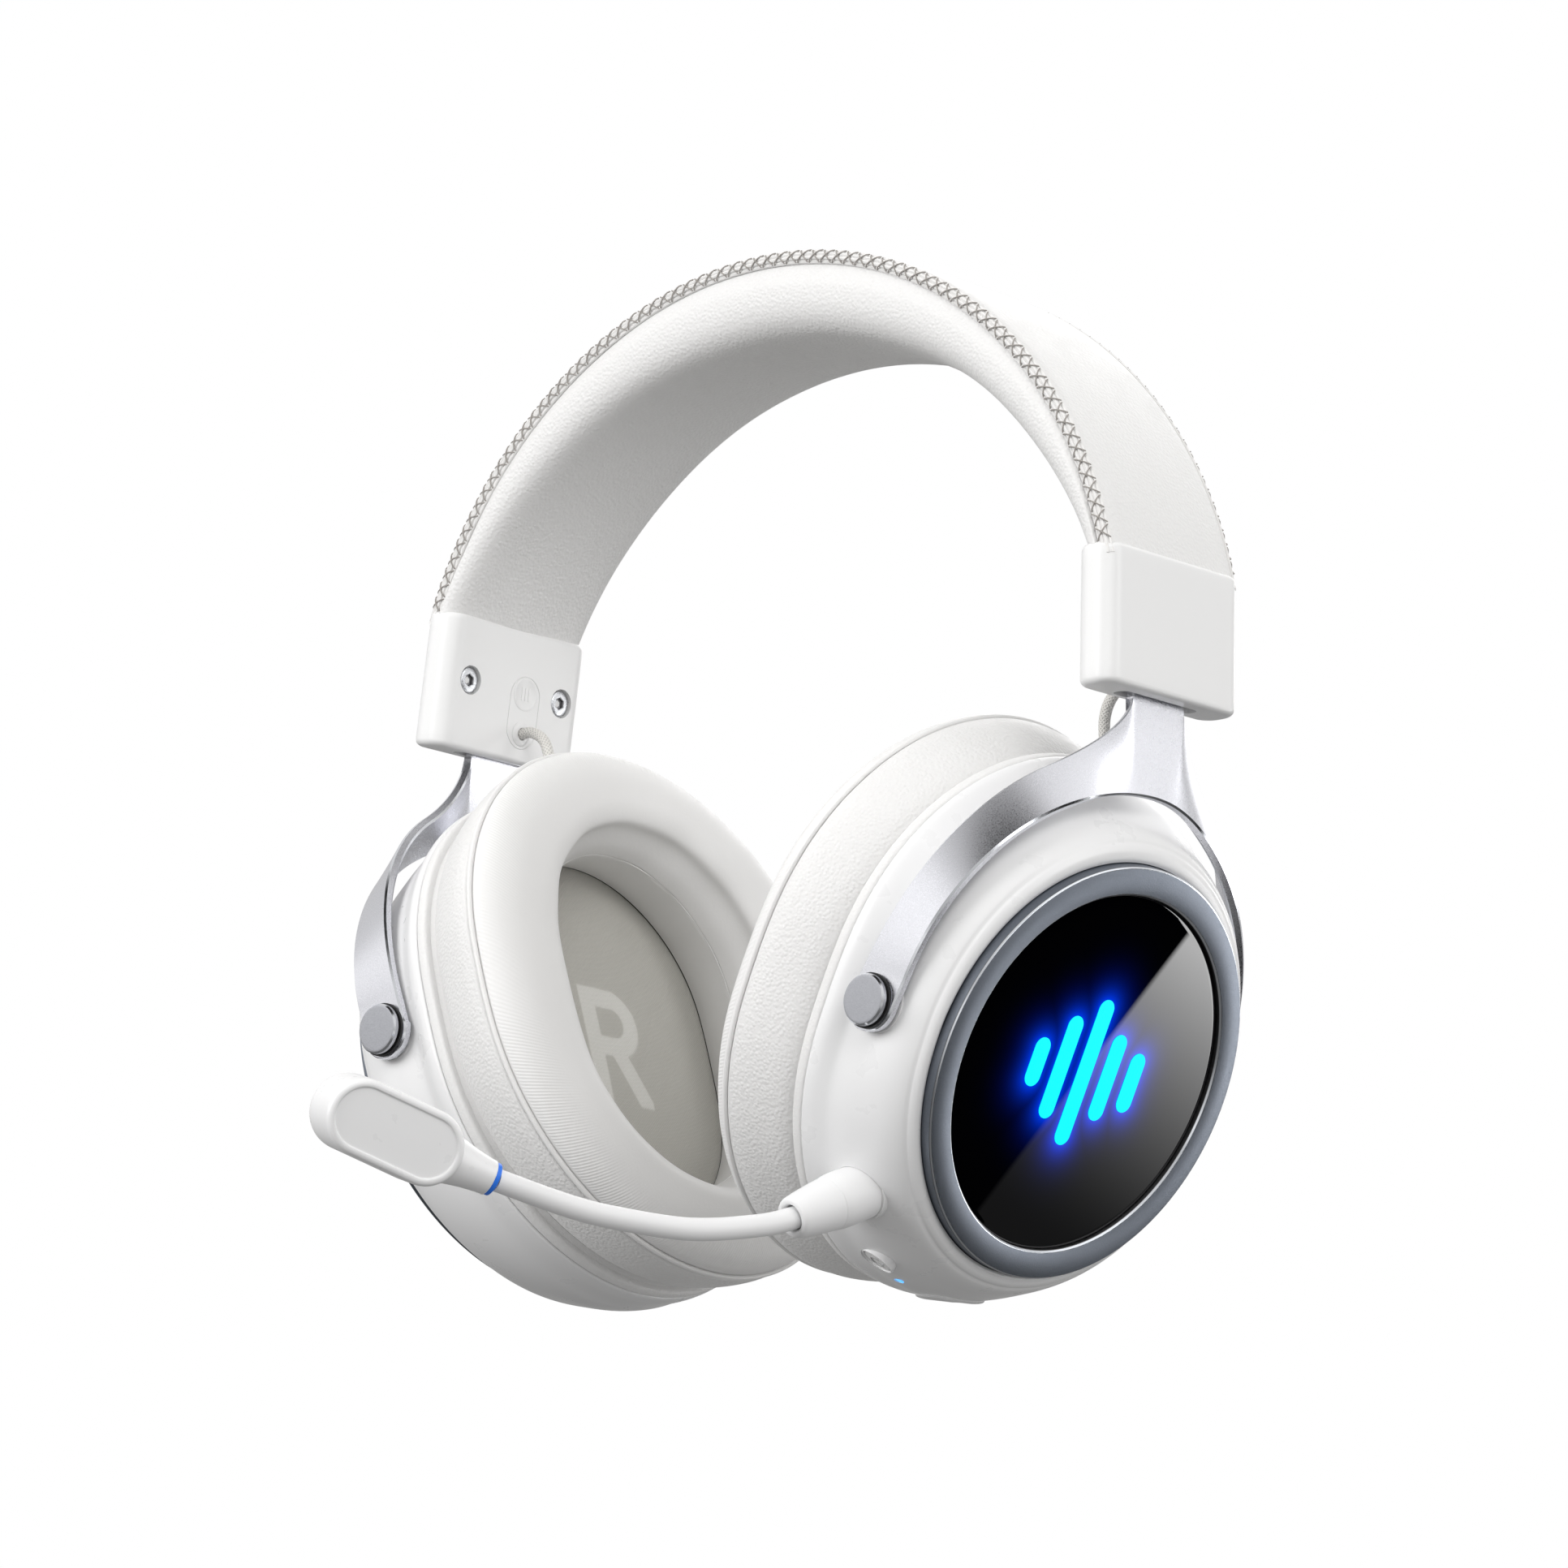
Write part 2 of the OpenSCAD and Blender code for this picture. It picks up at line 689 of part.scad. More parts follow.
module led_board(side) {
    back = glass_out - glass_t - 1.2;
    color([0.05, 0.3, 0.15]) at_cup(side) translate([back - 1.4, 0, face_w]) rotate([0, 90, 0]) {
        difference() {
            cylinder(r = glass_r - 2, h = 1.2, $fn = 96);
            for (turn = [45 : 90 : 315]) {
                rotate(turn) translate([glass_r - 5, 0, -1]) cylinder(r = 1.2, h = 4, $fn = 24);
            }
        }
        for (turn = [0 : 45 : 315]) {
            rotate(turn) translate([14, -1.2, 1.2]) cube([2.4, 2.4, 0.8]);
        }
    }
}

module rim_band(side) {
    color(leather) at_cup(side) difference() {
        rim(0.3, ring_back, band_back, 72);
        rim(2.4, ring_back - 1, band_back + 1, 64);
    }
}

baffle_in = -5;
driver_seat = 24.4;

module baffle(side) {
    color([0.15, 0.15, 0.15]) at_cup(side) difference() {
        oval_plate(oval_mid - 5, driver_seat, rim_a - 2.9, baffle_in, band_back);
        for (turn = [30 : 60 : 330]) {
            rotate([turn, 0, 0]) translate([baffle_in - 1, 38, 0]) rotate([0, 90, 0]) {
                cylinder(r = 1.2, h = 4, $fn = 24);
            }
        }
    }
}

driver_front = band_back + 0.2;

module driver(side) {
    color([0.2, 0.2, 0.22]) at_cup(side) turned(0) polygon([
        [23.4, driver_front], [26.6, driver_front], [26.6, driver_front + 1.4],
        [24.8, driver_front + 1.8], [18.6, driver_front + 5.4], [18.6, driver_front + 7.4],
        [0, driver_front + 7.4], [0, driver_front + 4.2], [12, driver_front + 4.2],
        [22.4, driver_front + 1.4]]);
}

module diaphragm(side) {
    color([0.7, 0.65, 0.5]) at_cup(side) turned(0) polygon([
        [0, -3.9], [9, -3.4], [12.4, -2.6], [17, -3.6], [22.4, -3.2], [23.3, -2.9],
        [23.3, -2.6], [22.2, -2.8], [17, -3.2], [12.4, -2.2], [9, -3], [0, -3.5]]);
}

module pad_ring(side) {
    color([0.2, 0.2, 0.2]) at_cup(side) {
        oval_plate(oval_mid, pad_hole + 2, rim_a - 2.2, pad_back, ring_back - 0.02);
    }
}

module speaker_cloth(side) {
    color([0.62, 0.61, 0.57]) at_cup(side) {
        oval_plate(oval_mid, 0, pad_hole + 1.8, pad_back + 0.1, pad_back + 0.5);
    }
}

module ear_pad(side) {
    crown = pad_back - pad_h;
    color(leather) at_cup(side) oval_turned(oval_mid) polygon([
        [pad_hole + 1.8, pad_back - 0.05], [pad_a - 3.4, pad_back - 0.05], [pad_a - 2.2, pad_back - 3],
        [pad_a, crown + 7.6], [pad_a - 0.5, crown + 5.4], [pad_a - 2.9, crown + 2.8],
        [pad_a - 7.4, crown + 0.8], [pad_a - 11.4, crown], [pad_a - 15, crown + 0.2],
        [pad_hole + 5, crown + 1.8], [pad_hole + 2.4, crown + 4.6], [pad_hole, crown + 10],
        [pad_hole + 0.4, crown + 15]]);
}

// ---- electronics ----

module main_board() {
    color([0.05, 0.3, 0.15]) at_cup(1) translate([9.5, 0, 0]) {
        translate([0, -24, -14]) cube([1.2, 48, 32]);
        translate([1.2, -8, -4]) cube([1.4, 12, 12]);
        translate([1.2, 10, 2]) cube([1.2, 6, 6]);
        translate([1.2, -19, 4]) cube([1.2, 7, 5]);
    }
}

module battery() {
    color([0.75, 0.76, 0.8]) at_cup(-1) translate([6.6, -20, -14]) cube([5.4, 40, 30]);
}

module power_button() {
    color(white) at_wall(1, button_u, button_turn, 38) rotate([0, 90, 0]) {
        cylinder(r = 2.9 - 2 * run, h = 6.2, $fn = 48);
    }
    color(white) at_wall(1, button_u, button_turn, 38) translate([-1.6, 0, 0]) rotate([0, 90, 0]) {
        cylinder(r = 3.6, h = 1.6, $fn = 48);
    }
}

module status_led() {
    color([0.3, 0.7, 1]) at_wall(1, button_u, led_turn, 38) rotate([0, 90, 0]) {
        cylinder(r = 0.85, h = 6.2, $fn = 32);
    }
}

module volume_wheel() {
    color(white) at_wall(1, button_u, wheel_turn, wheel_at) {
        difference() {
            cylinder(r = wheel_r, h = 3, center = true, $fn = 96);
            cylinder(r = 1.5 + run, h = 8, center = true, $fn = 32);
            for (turn = [0 : 15 : 345]) {
                rotate(turn) translate([wheel_r + 0.35, 0, 0]) {
                    cylinder(r = 0.7, h = 8, center = true, $fn = 16);
                }
            }
        }
    }
}

module usb_socket() {
    color(steel) at_wall(1, button_u, port_turn, 36) difference() {
        translate([0, -4.5, -1.6]) cube([7.6, 9, 3.2]);
        translate([1, -4.1, -1.2]) cube([7, 8.2, 2.4]);
    }
    color(black) at_wall(1, button_u, port_turn, 36) translate([0.9, -3.2, -0.35]) {
        cube([5.4, 6.4, 0.7]);
    }
}

// ---- microphone ----

module mic_socket() {
    color([0.15, 0.15, 0.15]) at_mic() rotate([0, 90, 0]) difference() {
        translate([0, 0, -13]) cylinder(r = 5.35, h = 11, $fn = 64);
        translate([0, 0, -3]) cylinder(r = 5, h = 4, $fn = 64);
        translate([0, 0, -12]) cylinder(r = 1.8, h = 14, $fn = 48);
    }
}

module mic_plug() {
    color([0.8, 0.7, 0.4]) at_mic() rotate([0, 90, 0]) {
        translate([0, 0, -11.6]) cylinder(r = 1.75, h = 8.7, $fn = 48);
    }
}

// Route of the boom from the collar to the capsule's neck.
boom_route = [[45.6, -43.6, -39.2], [45, -47.3, -40.6], [43.8, -54.5, -42.6], [40.6, -67.4, -44.8],
    [36.6, -81.5, -44.7], [33.6, -91, -43.7], [29.7, -104.8, -41.1]];
// The capsule's place, heading, rise and roll.
capsule_at = [21.8, -124.1, -34.9];
capsule_turn = -112.2;
capsule_rise = 16.8;
capsule_roll = -12.7;
neck_l = 7.75;
accent_l = 0.9;
capsule_out = 0.75;    // the capsule's body sits this far out of the neck's line

// Soft-edged collar that meets the cup, with the boom coming out of its tip.
module mic_boom() {
    color(white) at_mic() rotate([0, 90, 0]) rotate_extrude($fn = 64) polygon([
        [0, -2.9], [4.85, -2.9], [5, 0], [5, 3], [4.8, 6], [4.5, 9], [4.1, 12],
        [3.7, 14.4], [3.2, 15], [2.5, 15], [2.5, 13], [0, 13]]);
    color(white) placed(1) tube(smooth_route(boom_route, 5), boom_r, [0, 0, 1], 12);
}

// Capsule frame: X runs forwards along the capsule, Y out of its face.
module at_capsule() {
    turn = [capsule_roll, -capsule_rise, capsule_turn];
    placed(1) translate(capsule_at) rotate(turn) children();
}

module mic_accent_ring() {
    color([0.1, 0.3, 0.9]) at_capsule() rotate([0, 90, 0]) {
        translate([0, 0, -capsule_l / 2 - neck_l - accent_l]) difference() {
            cylinder(r = 2.95, h = accent_l, $fn = 48);
            translate([0, 0, -1]) cylinder(r = boom_r + 0.3, h = accent_l + 2, $fn = 48);
        }
    }
}

module mic_capsule() {
    straight = capsule_l - capsule_w;
    color(white) at_capsule() {
        translate([0, capsule_out, 0]) {
            for (x = [-1, 1]) {
                translate([x * straight / 2, 0, 0]) rotate([90, 0, 0]) {
                    cylinder(r = capsule_w / 2, h = capsule_t, center = true, $fn = 96);
                }
            }
            cube([straight, capsule_t, capsule_w], center = true);
        }
        translate([-capsule_l / 2 - neck_l, 0, 0]) rotate([0, 90, 0]) {
            cylinder(r1 = 3.05, r2 = 4.7, h = neck_l + 1.5, $fn = 48);
        }
    }
}

headband_cover();
headband_cushion();
headband_spring();
slider_housing(1);  // slider_housing_left
slider_housing(-1);  // slider_housing_right
slider_cover(1);  // slider_cover_left
slider_cover(-1);  // slider_cover_right
slider_guide(1);  // slider_guide_left
slider_guide(-1);  // slider_guide_right
slider_screws(1);  // slider_screws_left
slider_screws(-1);  // slider_screws_right
cable_grommet(1);  // cable_grommet_left
cable_grommet(-1);  // cable_grommet_right
badge_ring(1);  // badge_ring_left
badge_ring(-1);  // badge_ring_right
side_cable(1, upper_route);  // side_cable_upper_left
side_cable(-1, upper_route);  // side_cable_upper_right
side_cable(1, lower_route);  // side_cable_lower_left
side_cable(-1, lower_route);  // side_cable_lower_right
fork(1);  // fork_left
fork(-1);  // fork_right
pivot_bolts(1);  // pivot_bolts_left
pivot_bolts(-1);  // pivot_bolts_right
pivot_washers(1);  // pivot_washers_left
pivot_washers(-1);  // pivot_washers_right
cup_shell(1);  // cup_shell_left
cup_shell(-1);  // cup_shell_right
bezel_ring(1);  // bezel_ring_left
bezel_ring(-1);  // bezel_ring_right
face_glass(1);  // face_glass_left
face_glass(-1);  // face_glass_right
light_mark(1);  // light_mark_left
light_mark(-1);  // light_mark_right
led_board(1);  // led_board_left
led_board(-1);  // led_board_right
rim_band(1);  // rim_band_left
rim_band(-1);  // rim_band_right
baffle(1);  // baffle_left
baffle(-1);  // baffle_right
driver(1);  // driver_left
driver(-1);  // driver_right
diaphragm(1);  // diaphragm_left
diaphragm(-1);  // diaphragm_right
pad_ring(1);  // pad_ring_left
pad_ring(-1);  // pad_ring_right
speaker_cloth(1);  // speaker_cloth_left
speaker_cloth(-1);  // speaker_cloth_right
ear_pad(1);  // ear_pad_left
ear_pad(-1);  // ear_pad_right
main_board();
battery();
power_button();
status_led();
volume_wheel();
usb_socket();
mic_socket();
mic_plug();
mic_boom();
mic_capsule();
mic_accent_ring();
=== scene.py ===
import json
import math

import bmesh
import bpy
import numpy as np
from mathutils import Euler, Matrix, Vector
from mathutils.bvhtree import BVHTree


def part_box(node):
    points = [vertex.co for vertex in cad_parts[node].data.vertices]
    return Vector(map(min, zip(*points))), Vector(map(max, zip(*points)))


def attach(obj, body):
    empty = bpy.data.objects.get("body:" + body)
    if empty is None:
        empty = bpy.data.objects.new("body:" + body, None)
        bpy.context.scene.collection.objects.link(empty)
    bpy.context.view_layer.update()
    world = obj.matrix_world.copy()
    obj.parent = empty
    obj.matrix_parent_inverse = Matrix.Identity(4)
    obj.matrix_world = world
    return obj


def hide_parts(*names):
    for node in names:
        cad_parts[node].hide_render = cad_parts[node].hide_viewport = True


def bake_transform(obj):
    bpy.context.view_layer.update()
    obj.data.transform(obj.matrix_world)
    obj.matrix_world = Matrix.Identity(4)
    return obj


# A white over-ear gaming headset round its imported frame. Shapes are worked out in
# millimetres in the frame's axes for the left side, and mirrored for the right.

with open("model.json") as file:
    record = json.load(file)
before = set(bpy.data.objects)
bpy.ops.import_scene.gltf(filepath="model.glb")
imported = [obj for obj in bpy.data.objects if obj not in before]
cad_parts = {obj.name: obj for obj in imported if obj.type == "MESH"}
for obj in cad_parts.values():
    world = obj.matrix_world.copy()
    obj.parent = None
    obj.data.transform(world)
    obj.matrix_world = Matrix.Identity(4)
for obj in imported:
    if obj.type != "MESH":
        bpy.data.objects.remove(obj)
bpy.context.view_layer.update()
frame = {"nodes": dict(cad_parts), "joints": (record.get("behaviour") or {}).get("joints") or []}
NODES = frame["nodes"]
JOINTS = {j["name"]: j for j in frame["joints"]}
MM = 0.001
SIDES = {"left": 1, "right": -1}


# ---------------------------------------------------------------- places

def vec(v):
    return np.array(v, float)


def unit(v):
    """Vectors of length 1, along the last axis."""
    return v / np.linalg.norm(v, axis=-1, keepdims=True)


def run(p):
    """Length along a row of points, at each of them."""
    return np.append(0, np.cumsum(np.linalg.norm(np.diff(p, axis=0), axis=1)))


def smoothstep(x):
    x = np.clip(x, 0, 1)
    return x * x * (3 - 2 * x)


def node_box(*names):
    """Lowest and highest corner of some CAD nodes, in mm."""
    corners = np.array([[list(c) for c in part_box(n)] for n in names])
    return corners[:, 0].min(0) / MM, corners[:, 1].max(0) / MM


PIVOT_U = 7.5              # the pivots lie this far out along the cup's axis
ARCH_R = 86.6              # outer radius of the band
UNDER_R = 85.1             # radius of the cushion's underside
CUP_U = unit(vec(JOINTS["volume_wheel_turn"]["axis"]))
CUP_V = vec((0, 1, 0))
CUP_W = np.cross(CUP_U, CUP_V)
CUP_O = vec(JOINTS["left_cup_tilt"]["pos_m"]) / MM - PIVOT_U * CUP_U
BLOCK_K = -unit(vec(JOINTS["left_slider"]["axis"]))
BLOCK_N = np.cross(CUP_V, BLOCK_K)
_lo, _hi = node_box("slider_housing_left", "slider_cover_left")
BLOCK_O = (_lo + _hi) / 2
ARCH_Z = node_box("headband_cover")[1][2] - ARCH_R
PIVOT_Z = CUP_O[2]
MIC_AXIS = unit(vec(JOINTS["microphone_unplug"]["axis"]))


def place(origin, axes, a, b, c):
    a, b, c = np.broadcast_arrays(vec(a), vec(b), vec(c))
    return origin + a[..., None] * axes[0] + b[..., None] * axes[1] + c[..., None] * axes[2]


def cup(u, v, w):
    """Cup frame: u out of its face, v to the back, w up along the cup."""
    return place(CUP_O, (CUP_U, CUP_V, CUP_W), u, v, w)


def block(o, y, k):
    """Housing frame: o outwards, y to the back, k up along the slide."""
    return place(BLOCK_O, (BLOCK_N, CUP_V, BLOCK_K), o, y, k)


def lift(p):
    """A point given from the pivots' level, as the part's routes are."""
    return vec(p) + vec((0, 0, PIVOT_Z))


# ---------------------------------------------------------------- mesh building

def linked(name, data):
    """A new object in the scene."""
    obj = bpy.data.objects.new(name, data)
    bpy.context.scene.collection.objects.link(obj)
    return obj


class Shape:
    """Collects grids of points, in mm, and builds one Blender mesh from them."""

    def __init__(self):
        self.verts, self.faces, self.mats, self.uvs, self.count = [], [], [], [], 0
        self.values = {}

    def grid(self, p, mat=0, loop=False, ring=False, uv=None, cols=None):
        """Quads over an (n, m, 3) array; loop closes the rows, ring the columns."""
        n, m = p.shape[:2]
        rows, columns = (n if loop else n - 1), (m if ring else m - 1)
        i, j = np.meshgrid(np.arange(rows), np.arange(columns), indexing="ij")
        corners = [(i, j), (i + 1, j), (i + 1, j + 1), (i, j + 1)]
        if uv is None:
            uv = np.zeros((rows + 1, columns + 1, 2))
        quads = np.stack([(a % n) * m + b % m for a, b in corners], -1).reshape(-1, 4)
        self.verts.append(p.reshape(-1, 3))
        self.faces += (quads + self.count).tolist()
        self.mats += np.broadcast_to(mat if cols is None else cols, (rows, columns)).ravel().tolist()
        self.uvs += np.stack([uv[c] for c in corners], -2).reshape(-1, 2).tolist()
        self.count += n * m
        return self

    def fan(self, ring, mat=0):
        """Closes a ring of points with one flat face."""
        self.verts.append(vec(ring))
        self.faces.append(list(range(self.count, self.count + len(ring))))
        self.mats.append(mat)
        self.uvs += [[0, 0]] * len(ring)
        self.count += len(ring)
        return self

    def solid(self, rings, mat=0, cols=None):
        """A row of rings with both ends closed."""
        return self.grid(rings, mat, ring=True, cols=cols).fan(rings[0], mat).fan(rings[-1], mat)

    def mesh(self, name, side=1):
        me = bpy.data.meshes.new(name)
        me.from_pydata((np.concatenate(self.verts) * MM * vec((side, 1, 1))).tolist(), [], self.faces)
        me.polygons.foreach_set("material_index", self.mats)
        me.uv_layers.new(name="UVMap").data.foreach_set("uv", np.ravel(self.uvs))
        for key, values in self.values.items():
            me.attributes.new(key, "FLOAT", "POINT").data.foreach_set("value", values)
        return me


def finish_mesh(me, weld=2e-6, sharp=32):
    bm = bmesh.new()
    bm.from_mesh(me)
    bmesh.ops.remove_doubles(bm, verts=bm.verts, dist=weld)
    bmesh.ops.dissolve_degenerate(bm, edges=bm.edges, dist=weld / 2)
    bmesh.ops.recalc_face_normals(bm, faces=bm.faces)
    bm.to_mesh(me)
    bm.free()
    me.polygons.foreach_set("use_smooth", [True] * len(me.polygons))
    me.set_sharp_from_angle(angle=math.radians(sharp))
    me.update()


def add(shape, name, body, mats, side_name="left", replaces=(), sharp=32, cut=None):
    """Builds a piece, gives it its materials and puts it on its body.

    Names are given with {} in place of their side. Without a body the piece is left free."""
    name, *replaces = (n.format(side_name) for n in (name, *replaces))
    side = SIDES[side_name]
    me = shape.mesh(name, side)
    finish_mesh(me, sharp=sharp)
    obj = linked(name, me)
    for look in mats:
        me.materials.append(look.m)
    if cut is not None:
        carve(obj, cut, side, sharp)
    if body:
        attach(obj, body.format(side_name))
    if replaces:
        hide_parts(*replaces)
    return obj


def carve(obj, cutter, side, sharp):
    """Cuts a shape's closed solids out of a piece; the untouched surface keeps its shading."""
    me = cutter.mesh("cutter", side)
    finish_mesh(me)
    tool = linked("cutter", me)
    before = obj.data
    tree = BVHTree.FromPolygons([v.co for v in before.vertices], [p.vertices for p in before.polygons])
    smooth = [[before.corner_normals[i].vector.copy() for i in p.loop_indices] for p in before.polygons]
    corners = [[before.vertices[i].co.copy() for i in p.vertices] for p in before.polygons]
    flat = [p.normal.copy() for p in before.polygons]
    mod = obj.modifiers.new("cut", "BOOLEAN")
    mod.operation, mod.solver, mod.object = "DIFFERENCE", "EXACT", tool
    mod.use_self = True
    bpy.context.view_layer.update()
    done = bpy.data.meshes.new_from_object(obj.evaluated_get(bpy.context.evaluated_depsgraph_get()))
    obj.modifiers.clear()
    obj.data = done
    bpy.data.objects.remove(tool)
    done.polygons.foreach_set("use_smooth", [True] * len(done.polygons))
    done.set_sharp_from_angle(angle=math.radians(sharp))
    normals = [n.vector.copy() for n in done.corner_normals]
    for poly in done.polygons:
        for i in poly.loop_indices:
            at = done.vertices[done.loops[i].vertex_index].co
            toward = at + (poly.center - at) * 0.02
            _, _, index, gap = tree.find_nearest(toward)
            if gap is None or gap > 4e-5 or flat[index].dot(poly.normal) < 0.9:
                continue
            total = Vector((0, 0, 0))
            for corner, n in zip(corners[index], smooth[index]):
                total += n / ((corner - at).length_squared + 1e-10)
            normals[i] = total.normalized()
    done.normals_split_custom_set(normals)
    bpy.data.meshes.remove(before)
    bpy.data.meshes.remove(me)


def curve_through(points, steps):
    """A smooth curve through points, steps to a stretch; the last axis is coordinates."""
    p = vec(points)
    q = np.concatenate([[2 * p[0] - p[1]], p, [2 * p[-1] - p[-2]]])
    t = np.linspace(0, 1, steps, endpoint=False)[:, None]
    out = []
    for i in range(1, len(p)):
        a, b, c, d = q[i - 1], q[i], q[i + 1], q[i + 2]
        out.append(0.5 * (2 * b + (c - a) * t + (2 * a - 5 * b + 4 * c - d) * t ** 2
                          + (3 * b - a - 3 * c + d) * t ** 3))
    return np.concatenate(out + [p[-1:]])


def tube(shape, path, radius, sides=12, closed=False, mat=0):
    """Sweeps a round section along a path, with flat ends."""
    p = vec(path)
    ahead = np.roll(p, -1, 0) - np.roll(p, 1, 0)
    if not closed:
        ahead[0], ahead[-1] = p[1] - p[0], p[-1] - p[-2]
    ahead = unit(ahead)
    side = np.cross(ahead[0], (0.13, 0.97, 0.21))
    out, over = [], []
    for t in ahead:
        side = unit(side - t * (side @ t))
        out.append(side)
        over.append(np.cross(t, side))
    turn = np.linspace(0, 2 * np.pi, sides, endpoint=False)[:, None]
    q = p[:, None] + radius * (np.cos(turn) * vec(out)[:, None] + np.sin(turn) * vec(over)[:, None])
    along = run(np.concatenate([p, p[:1]]) if closed else p)
    uv = np.stack(np.meshgrid(along, np.linspace(0, 2 * np.pi * radius, sides + 1), indexing="ij"), -1)
    shape.grid(q, mat, loop=closed, ring=True, uv=uv)
    return shape if closed else shape.fan(q[0], mat).fan(q[-1], mat)


def lathe(shape, origin, axis, profile, sides=96, mats=0):
    """Turns (radius, height) points about an axis; mats is one index or one a stretch."""
    x = unit(np.cross(axis, (0.31, 0.2, 0.93)))
    y = np.cross(axis, x)
    turn = np.linspace(0, 2 * np.pi, sides, endpoint=False)[:, None, None]
    radius, height = vec(profile).T[:, :, None]
    q = origin + height * axis + radius * (np.cos(turn) * x + np.sin(turn) * y)
    return shape.grid(q, loop=True, cols=mats)


def peg(shape, origin, axis, radius, low, high, sides=48, mat=0):
    """Plain closed cylinder."""
    return lathe(shape, origin, axis, [(0, low), (radius, low), (radius, high), (0, high)], sides, mat)


# ---------------------------------------------------------------- materials

class Nodes:
    """A node tree with short helpers that take numbers, colours or sockets as values."""

    def __init__(self, tree):
        self.tree = tree

    def node(self, kind, **settings):
        n = self.tree.nodes.new("ShaderNode" + kind)
        for key, v in settings.items():
            setattr(n, key, v)
        return n

    def put(self, n, *values, **named):
        """Fills a node's inputs, in order or by name with _ for a space."""
        for key, v in [*enumerate(values), *named.items()]:
            socket = n.inputs[key.replace("_", " ") if isinstance(key, str) else key]
            if isinstance(v, bpy.types.NodeSocket):
                self.tree.links.new(v, socket)
            else:
                socket.default_value = v
        return n

    def math(self, op, *values):
        return self.put(self.node("Math", operation=op), *values).outputs[0]

    def ramp(self, value, low, high, to_low=0.0, to_high=1.0, kind="LINEAR"):
        n = self.node("MapRange", interpolation_type=kind)
        return self.put(n, value, low, high, to_low, to_high).outputs["Result"]

    def mix(self, factor, a, b, kind="RGBA"):
        return self.put(self.node("Mix", data_type=kind), Factor=factor, A=a, B=b).outputs["Result"]


class Mat(Nodes):
    """A Principled material with procedural colour, roughness and relief."""

    def __init__(self, name, color, rough, metallic=0.0, **sockets):
        self.m = bpy.data.materials.new(name)
        self.m.use_nodes = True
        super().__init__(self.m.node_tree)
        self.b = self.tree.nodes["Principled BSDF"]
        self.put(self.b, Base_Color=shade(color), Roughness=rough, Metallic=metallic, **sockets)
        self.where = self.node("TexCoord").outputs["Object"]
        self.height = None

    def noise(self, mm, detail=3.0, rough=0.5):
        return self.put(self.node("TexNoise"), Vector=self.where, Scale=1 / (mm * MM),
                        Detail=detail, Roughness=rough).outputs["Fac"]

    def cells(self, mm, smooth):
        return self.put(self.node("TexVoronoi", feature="SMOOTH_F1"), Vector=self.where,
                        Scale=1 / (mm * MM), Smoothness=smooth).outputs["Distance"]

    def tint(self, factor, low, high):
        """Base colour between two colours."""
        self.put(self.b, Base_Color=self.mix(factor, low, high))

    def roughness(self, mm, detail, low, high):
        self.put(self.b, Roughness=self.ramp(self.noise(mm, detail), 0.3, 0.7, low, high))

    def bump(self, factor, depth_mm):
        """Relief of a depth, on top of what there is."""
        n = self.put(self.node("Bump"), Strength=1, Distance=depth_mm * MM, Height=factor)
        if self.height is not None:
            self.put(n, Normal=self.height)
        self.height = n.outputs["Normal"]
        self.put(self.b, Normal=self.height)

    def uv(self):
        """The UV map in mm, as separate along and across values."""
        n = self.put(self.node("SeparateXYZ"), self.node("UVMap").outputs["UV"])
        return n.outputs["X"], n.outputs["Y"]

    def wave(self, value, pitch):
        """A sine of a length in mm."""
        return self.math("SINE", self.math("MULTIPLY", value, 2 * math.pi / pitch))

    def attribute(self, name):
        return self.node("Attribute", attribute_name=name).outputs["Fac"]


def shade(color, k=1.0):
    return tuple(x * k for x in color) + (1,)


WHITE = (0.80, 0.80, 0.805)
LEATHER = (0.79, 0.785, 0.78)


def surface(name, color, rough, tone=None, wear=None, relief=None, metallic=0.0, **sockets):
    """A material whose noises are given as their size and detail with what they drive.

    tone ends in two shades of the colour, wear in how far the roughness falls and rises,
    and relief in a depth."""
    m = Mat(name, color, rough, metallic, **sockets)
    if tone:
        *grain, low, high = tone
        m.tint(m.noise(*grain), shade(color, low), shade(color, high))
    if wear:
        *grain, less, more = wear
        m.roughness(*grain, rough - less, rough + more)
    if relief:
        *grain, depth = relief
        m.bump(m.noise(*grain), depth)
    return m


def gloss_white(name, color=WHITE, rough=0.3, coat=0.25):
    return surface(name, color, rough, (38, 2, 0.985, 1), (6, 4, 0.04, 0.05), (0.35, 2, 0.004),
                   Coat_Weight=coat, Coat_Roughness=0.22, IOR=1.47)


def pebbled(name, cell=0.62, depth=0.085, rough=0.38):
    m = surface(name, LEATHER, rough, wear=(5, 3, 0.06, 0.08),
                Sheen_Weight=0.12, Sheen_Roughness=0.5, IOR=1.45)
    grain = m.cells(cell, 0.35)
    tone = m.math("ADD", grain, 0.5)
    m.tint(m.ramp(tone, 0.1, 0.75), shade(LEATHER), shade(LEATHER, 0.955))
    m.bump(m.ramp(grain, 0.05, 0.75, 1, 0), depth)
    m.bump(m.noise(0.3, 3), 0.02)
    return m


def smooth_leather(name):
    return surface(name, LEATHER, 0.46, (16, 3, 0.97, 1), (4, 4, 0.06, 0.06), (0.7, 4, 0.6, 0.025),
                   Sheen_Weight=0.1, Sheen_Roughness=0.5, IOR=1.45)


